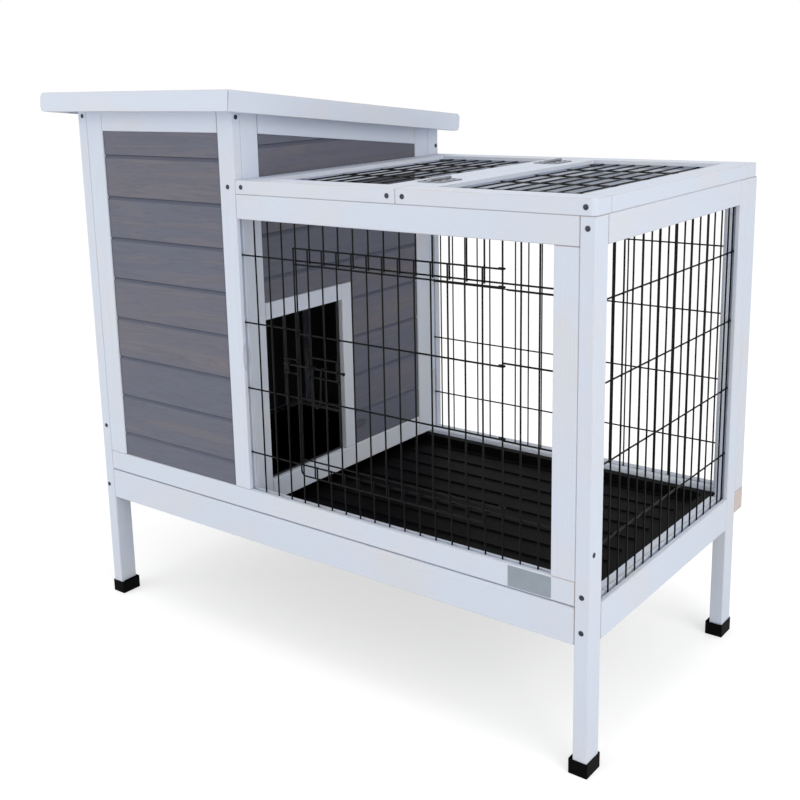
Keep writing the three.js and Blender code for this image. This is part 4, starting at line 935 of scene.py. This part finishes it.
for lid_name, (from_x, to_x, body) in LIDS.items():
    x0, x1 = from_x + FIT / 2, to_x - FIT / 2
    y0, y1 = FIT / 2, LID_DEPTH - FIT / 2
    between = (LID_BAR + BAR_GAP, LID_DEPTH - LID_BAR - BAR_GAP)
    bars = {
        "front": bar(f"{lid_name}_lid_front_bar", "x", (y0, LID_BAR), (x0, x1), False),
        "back": bar(f"{lid_name}_lid_back_bar", "x", (y1, LID_DEPTH - LID_BAR), (x0, x1), False),
        "left": bar(f"{lid_name}_lid_left_bar", "y", (x0, from_x + LID_BAR), between, True),
        "right": bar(f"{lid_name}_lid_right_bar", "y", (x1, to_x - LID_BAR), between, True),
    }
    if lid_name == "hinged":
        round_corner(bars["front"], x1, y0)
        round_corner(bars["back"], x1, y1)
    for side, piece in bars.items():
        corners = [Vector(c) for c in piece.bound_box]
        low = [min(c[a] for c in corners) for a in range(3)]
        high = [max(c[a] for c in corners) for a in range(3)]
        run_along = "x" if side in ("front", "back") else "y"
        piece.data.materials.append(whitewash(piece.name + "_wash", run_along, low, high, 0.0))
        soften(piece, 0.0007, math.radians(40))
        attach(piece, body)
        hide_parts(lid_name + "_lid_frame")


# ---- Butt hinges --------------------------------------------------------------------------
# Pressed zinc-plated leaves with rounded corners, rolled into knuckles round a pin, and held by
# small screws with low domed heads. The leaf with three knuckles holds the pin.

HINGE_LENGTH = 50
LEAF_WIDTH = 20
LEAF_SHEET = 1.2
LEAF_CORNER = 3
KNUCKLE = 2.5
PLAY = 0.3
KNUCKLES = 5
LINK_LAP, LINK_CORNER = 0.4, 0.01
PIN = 1.3
PIN_END = 0.1
EASE = 0.2
TURNED_STEPS = 24

SCREW_HEAD = 3.5
LEAF_SCREW = 2.4
SCREW_HEIGHT, SCREW_DOME = 0.75, 0.45
SCREW_EDGE = 0.1
SCREW_RECESS = 0.45
CROSS_HALF, CROSS_REACH = 0.15, 0.62
SCREW_FOOT, SCREW_SINK = 0.6, 1.4
HEAD_RINGS = (0.93, 0.72, 0.5, 0.3, 0.12)
HEAD_STEPS = 28

zinc, zinc_place = start("zinc_plate")
zinc_cloud = zinc_place.stretch((90, 90, 90)).noise(4.0, 0.6)
zinc_scratch = zinc_place.stretch((60, 900, 900)).noise(3.0, 0.6)
zinc_colour = zinc_cloud.mix(srgb(104, 108, 114), srgb(172, 175, 180))
zinc_rough = 0.30 + zinc_cloud * 0.2 + zinc_scratch * 0.08
surface(zinc, zinc_colour, zinc_rough, zinc_scratch, 0.00003, {"Metallic": 1.0})

steel, steel_place = start("dark_zinc_steel")
steel_cloud = steel_place.stretch((400, 400, 400)).noise(3.0, 0.6)
steel_fleck = steel_place.stretch((1500, 1500, 1500)).noise(2.0)
steel_colour = steel_cloud.mix(srgb(34, 36, 41), srgb(78, 82, 90))
surface(steel, steel_colour, 0.28 + steel_cloud * 0.2, steel_fleck, 0.00003, {"Metallic": 1.0})


def turned_rod(shape, radius, bottom, top, matrix):
    """Adds a closed round rod between two heights, in millimetres, with eased ends."""
    profile = [(radius - EASE, bottom), (radius, bottom + EASE), (radius, top - EASE), (radius - EASE, top)]
    rings = []
    for radius, height in profile:
        ring = []
        for step in range(TURNED_STEPS):
            t = 2 * math.pi * step / TURNED_STEPS
            point = Vector((radius * math.cos(t), radius * math.sin(t), height)) / 1000
            ring.append(shape.verts.new(matrix @ point))
        rings.append(ring)
    faces = []
    for lower, upper in zip(rings, rings[1:]):
        for step in range(TURNED_STEPS):
            after = (step + 1) % TURNED_STEPS
            faces.append(shape.faces.new((lower[step], lower[after], upper[after], upper[step])))
    shape.faces.new(rings[0][::-1])
    shape.faces.new(rings[-1])
    for face in faces:
        face.smooth = True


def rounded_plate(shape, low, high, radius, bottom, top, matrix):
    """Adds a flat plate between two corners, with its two outer corners rounded."""
    (x0, y0), (x1, y1) = low, high
    outline = [(x0, y0)]
    for cx, cy, first in ((x1 - radius, y0 + radius, -90), (x1 - radius, y1 - radius, 0)):
        for step in range(7):
            t = math.radians(first + 15 * step)
            outline.append((cx + radius * math.cos(t), cy + radius * math.sin(t)))
    outline.append((x0, y1))
    levels = [
        [shape.verts.new(matrix @ (Vector((x, y, z)) / 1000)) for x, y in outline]
        for z in (bottom, top)
    ]
    shape.faces.new(levels[0][::-1])
    shape.faces.new(levels[1])
    for step in range(len(outline)):
        after = (step + 1) % len(outline)
        shape.faces.new((levels[0][step], levels[0][after], levels[1][after], levels[1][step]))


def screw_head(shape, matrix, radius):
    """Adds a screw's low domed head with a cross recess, on a foot in the timber, as one closed
    form. Its rings are shares of its radius, and a ring without a level follows the dome."""
    def ring(share, level=None):
        made = []
        for step in range(HEAD_STEPS):
            t = 2 * math.pi * step / HEAD_STEPS
            x, y = radius * share * math.cos(t), radius * share * math.sin(t)
            z = level
            if level is None:
                near, far = sorted((abs(x), abs(y)))
                in_cross = near < radius * CROSS_HALF and far < radius * CROSS_REACH
                z = SCREW_HEIGHT * (1 - SCREW_DOME * share ** 2) - (SCREW_RECESS if in_cross else 0)
            made.append(shape.verts.new(matrix @ (Vector((x, y, z)) / 1000)))
        return made

    rings = [ring(1.0, SCREW_EDGE)] + [ring(share) for share in HEAD_RINGS]
    foot = ring(SCREW_FOOT, -SCREW_SINK)
    for lower, upper in zip([foot] + rings, rings):
        for step in range(HEAD_STEPS):
            after = (step + 1) % HEAD_STEPS
            shape.faces.new((lower[step], lower[after], upper[after], upper[step]))
    shape.faces.new(foot[::-1])
    shape.faces.new(rings[-1])


def finished(name, shape, material):
    """Makes a piece of a drawn form, in one material."""
    bmesh.ops.recalc_face_normals(shape, faces=shape.faces[:])
    made = mesh_object(name, [], [])
    shape.to_mesh(made.data)
    shape.free()
    made.data.materials.append(material)
    return made


def hinge_leaf(name, node_name, body, matrix, side, holds_pin):
    """One leaf: plate towards side * X, level with the knuckles' underside, pin along Y."""
    shape = bmesh.new()
    mirror = matrix @ Matrix.Diagonal((side, 1, 1, 1))
    to_y = Matrix.Rotation(math.radians(-90), 4, "X")
    half = HINGE_LENGTH / 2
    sheet = (-KNUCKLE, -KNUCKLE + LEAF_SHEET, mirror)
    rounded_plate(shape, (KNUCKLE + PLAY, -half), (LEAF_WIDTH, half), LEAF_CORNER, *sheet)
    pitch = HINGE_LENGTH / KNUCKLES
    for index in range(KNUCKLES):
        if (index % 2 == 0) == holds_pin:
            first = -half + pitch * index + PLAY / 2
            length = pitch - PLAY
            seat = mirror @ Matrix.Translation(Vector((0, first, 0)) / 1000) @ to_y
            turned_rod(shape, KNUCKLE, 0, length, seat)
            link_end = (KNUCKLE + PLAY + LINK_LAP, first + length)
            rounded_plate(shape, (0, first), link_end, LINK_CORNER, *sheet)
    if holds_pin:
        seat = mirror @ Matrix.Translation(Vector((0, -half + PLAY / 2, 0)) / 1000) @ to_y
        turned_rod(shape, PIN, -PIN_END, HINGE_LENGTH - PLAY + PIN_END, seat)
    leaf = finished(name, shape, zinc)
    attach(leaf, body)
    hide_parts(node_name)


def screws(name, body, places, radius=SCREW_HEAD):
    """Screw heads at places, each with the direction that it looks in, as one piece."""
    shape = bmesh.new()
    for place, facing in places:
        turn = Vector(facing).to_track_quat("Z", "Y").to_matrix().to_4x4()
        spin = Matrix.Rotation(dice.uniform(0, math.pi / 2), 4, "Z")
        screw_head(shape, Matrix.Translation(place) @ turn @ spin, radius)
    heads = finished(name, shape, steel)
    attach(heads, body)


HINGE_INSET = 100
SCREW_ROW = 12
LEAF_SCREWS = (-16, 0, 16)
LID_TOP = 721
PIN_Z = LID_TOP + FIT / 2 + KNUCKLE
LEAF_TOP_Z = PIN_Z - KNUCKLE + LEAF_SHEET
UP = (0, 0, 1)
for end, y in (("front", HINGE_INSET), ("back", LID_DEPTH - HINGE_INSET)):
    seat = Matrix.Translation(at(LID_JOINT, y, PIN_Z))
    for leaf, side, body in (("fixed", -1, "hutch_frame"), ("lid", 1, "run_lid")):
        node_name = f"lid_hinge_{end}_{leaf}_leaf"
        hinge_leaf(node_name + "_plate", node_name, body, seat, side, leaf == "fixed")
        row_x = LID_JOINT + side * SCREW_ROW
        spots = [(at(row_x, y + across, LEAF_TOP_Z), UP) for across in LEAF_SCREWS]
        screws(f"lid_hinge_{end}_{leaf}_screws", body, spots, LEAF_SCREW)

for node_name in ("roof_hinge_left_frame_leaf", "roof_hinge_left_roof_leaf",
                  "roof_hinge_right_frame_leaf", "roof_hinge_right_roof_leaf"):
    dress(node_name, zinc)
    soften(nodes[node_name], 0.0003)


# ---- Foot caps and tray -------------------------------------------------------------------
# Moulded black plastic: thin caps pushed over the legs' feet, and a shallow tray with a rim
# that slides on the runners and low ribs along its floor.

black_plastic, plastic_place = start("black_moulded_plastic")
plastic_grain = plastic_place.stretch((1500, 1500, 1500)).noise(2.0)
plastic_cloud = plastic_place.stretch((18, 18, 18)).noise(4.0)
plastic_dust = plastic_place.stretch((240, 240, 240)).noise(5.0, 0.65).above(0.62, 0.08)
plastic_colour = plastic_cloud.mix(srgb(2, 2, 3), srgb(8, 8, 9))
plastic_colour = (plastic_dust * 0.05).mix(plastic_colour, srgb(84, 84, 86))
plastic_rough = 0.46 + plastic_cloud * 0.16 + plastic_dust * 0.2
plastic_gloss = {"Specular IOR Level": 0.03}
surface(black_plastic, plastic_colour, plastic_rough, plastic_grain, 0.00010, plastic_gloss)

for node_name in ("foot_cap_front_left", "foot_cap_back_left", "foot_cap_front_right", "foot_cap_back_right"):
    dress(node_name, black_plastic)
    soften(nodes[node_name], 0.0004)
dress("tray", black_plastic)
soften(nodes["tray"], 0.0009, math.radians(20))


# ---- Screws and the plain label -----------------------------------------------------------
# Cross-head screws with low domed heads hold the frames to the legs and to each other, and a
# small blank grey label is stuck on the front rail.

TO_FRONT, TO_RIGHT, TO_BACK, TO_LEFT = (0, -1, 0), (1, 0, 0), (0, 1, 0), (-1, 0, 0)
FRAME_Y = FIT / 2
BACK_FACE_Y = LID_DEPTH - FIT / 2
LID_SCREW_Z = 711
LABEL_HALF, LABEL_CORNER, LABEL_THICK = (30.5, 14), 1.5, 0.35
LABEL_X, LABEL_Z = 817.5, 242
frame_screws = [(at(x, FRAME_Y, z), TO_FRONT) for x, z in (
    (10.9, 809), (6.5, 195.6), (326, 710.4), (889.9, 687), (889.6, 193.8), (10.9, 300), (889.6, 240.5),
)]
frame_screws += [(at(x, FRAME_Y, LID_SCREW_Z), TO_FRONT) for x in (352, 609)]
frame_screws.append((at(RUN_RIGHT - FIT / 2, 10, 294.6), TO_RIGHT))
frame_screws += [(at(HOUSE_RIGHT - FIT / 2, y, z), TO_RIGHT) for y, z in ((8, 808), (497, 735))]
frame_screws += [(at(FIT / 2, y, z), TO_LEFT) for y, z in ((16, 262), (16, 800), (458, 262), (458, 756))]
frame_screws += [(at(x, BACK_FACE_Y, z), TO_BACK) for x, z in (
    (17, 209), (883, 209), (17, 740), (325.5, 740), (325.5, 209), (882.5, 683),
    (352, LID_SCREW_Z), (609, LID_SCREW_Z),
)]
screws("frame_screws", "hutch_frame", frame_screws)
lid_screws = [
    (at(x, y, LID_SCREW_Z), facing)
    for x in (633, 887)
    for y, facing in ((FRAME_Y, TO_FRONT), (BACK_FACE_Y, TO_BACK))
]
screws("lid_frame_screws", "run_lid", lid_screws)

label_material, label_place = start("blank_label_film")
label_cloud = label_place.stretch((70, 70, 70)).noise(3.0)
label_fleck = label_place.stretch((900, 900, 900)).noise(2.0)
label_colour = label_cloud.mix(srgb(138, 148, 158), srgb(152, 162, 173))
surface(label_material, label_colour, 0.42 + label_cloud * 0.1, label_fleck, 0.00004)
label_shape = bmesh.new()
label_seat = Matrix.Translation(at(LABEL_X, FRAME_Y, LABEL_Z)) @ Matrix.Rotation(math.radians(90), 4, "X")
low, high = [-half for half in LABEL_HALF], LABEL_HALF
rounded_plate(label_shape, low, high, LABEL_CORNER, 0, LABEL_THICK, label_seat)
label = finished("blank_label", label_shape, label_material)
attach(label, "hutch_frame")
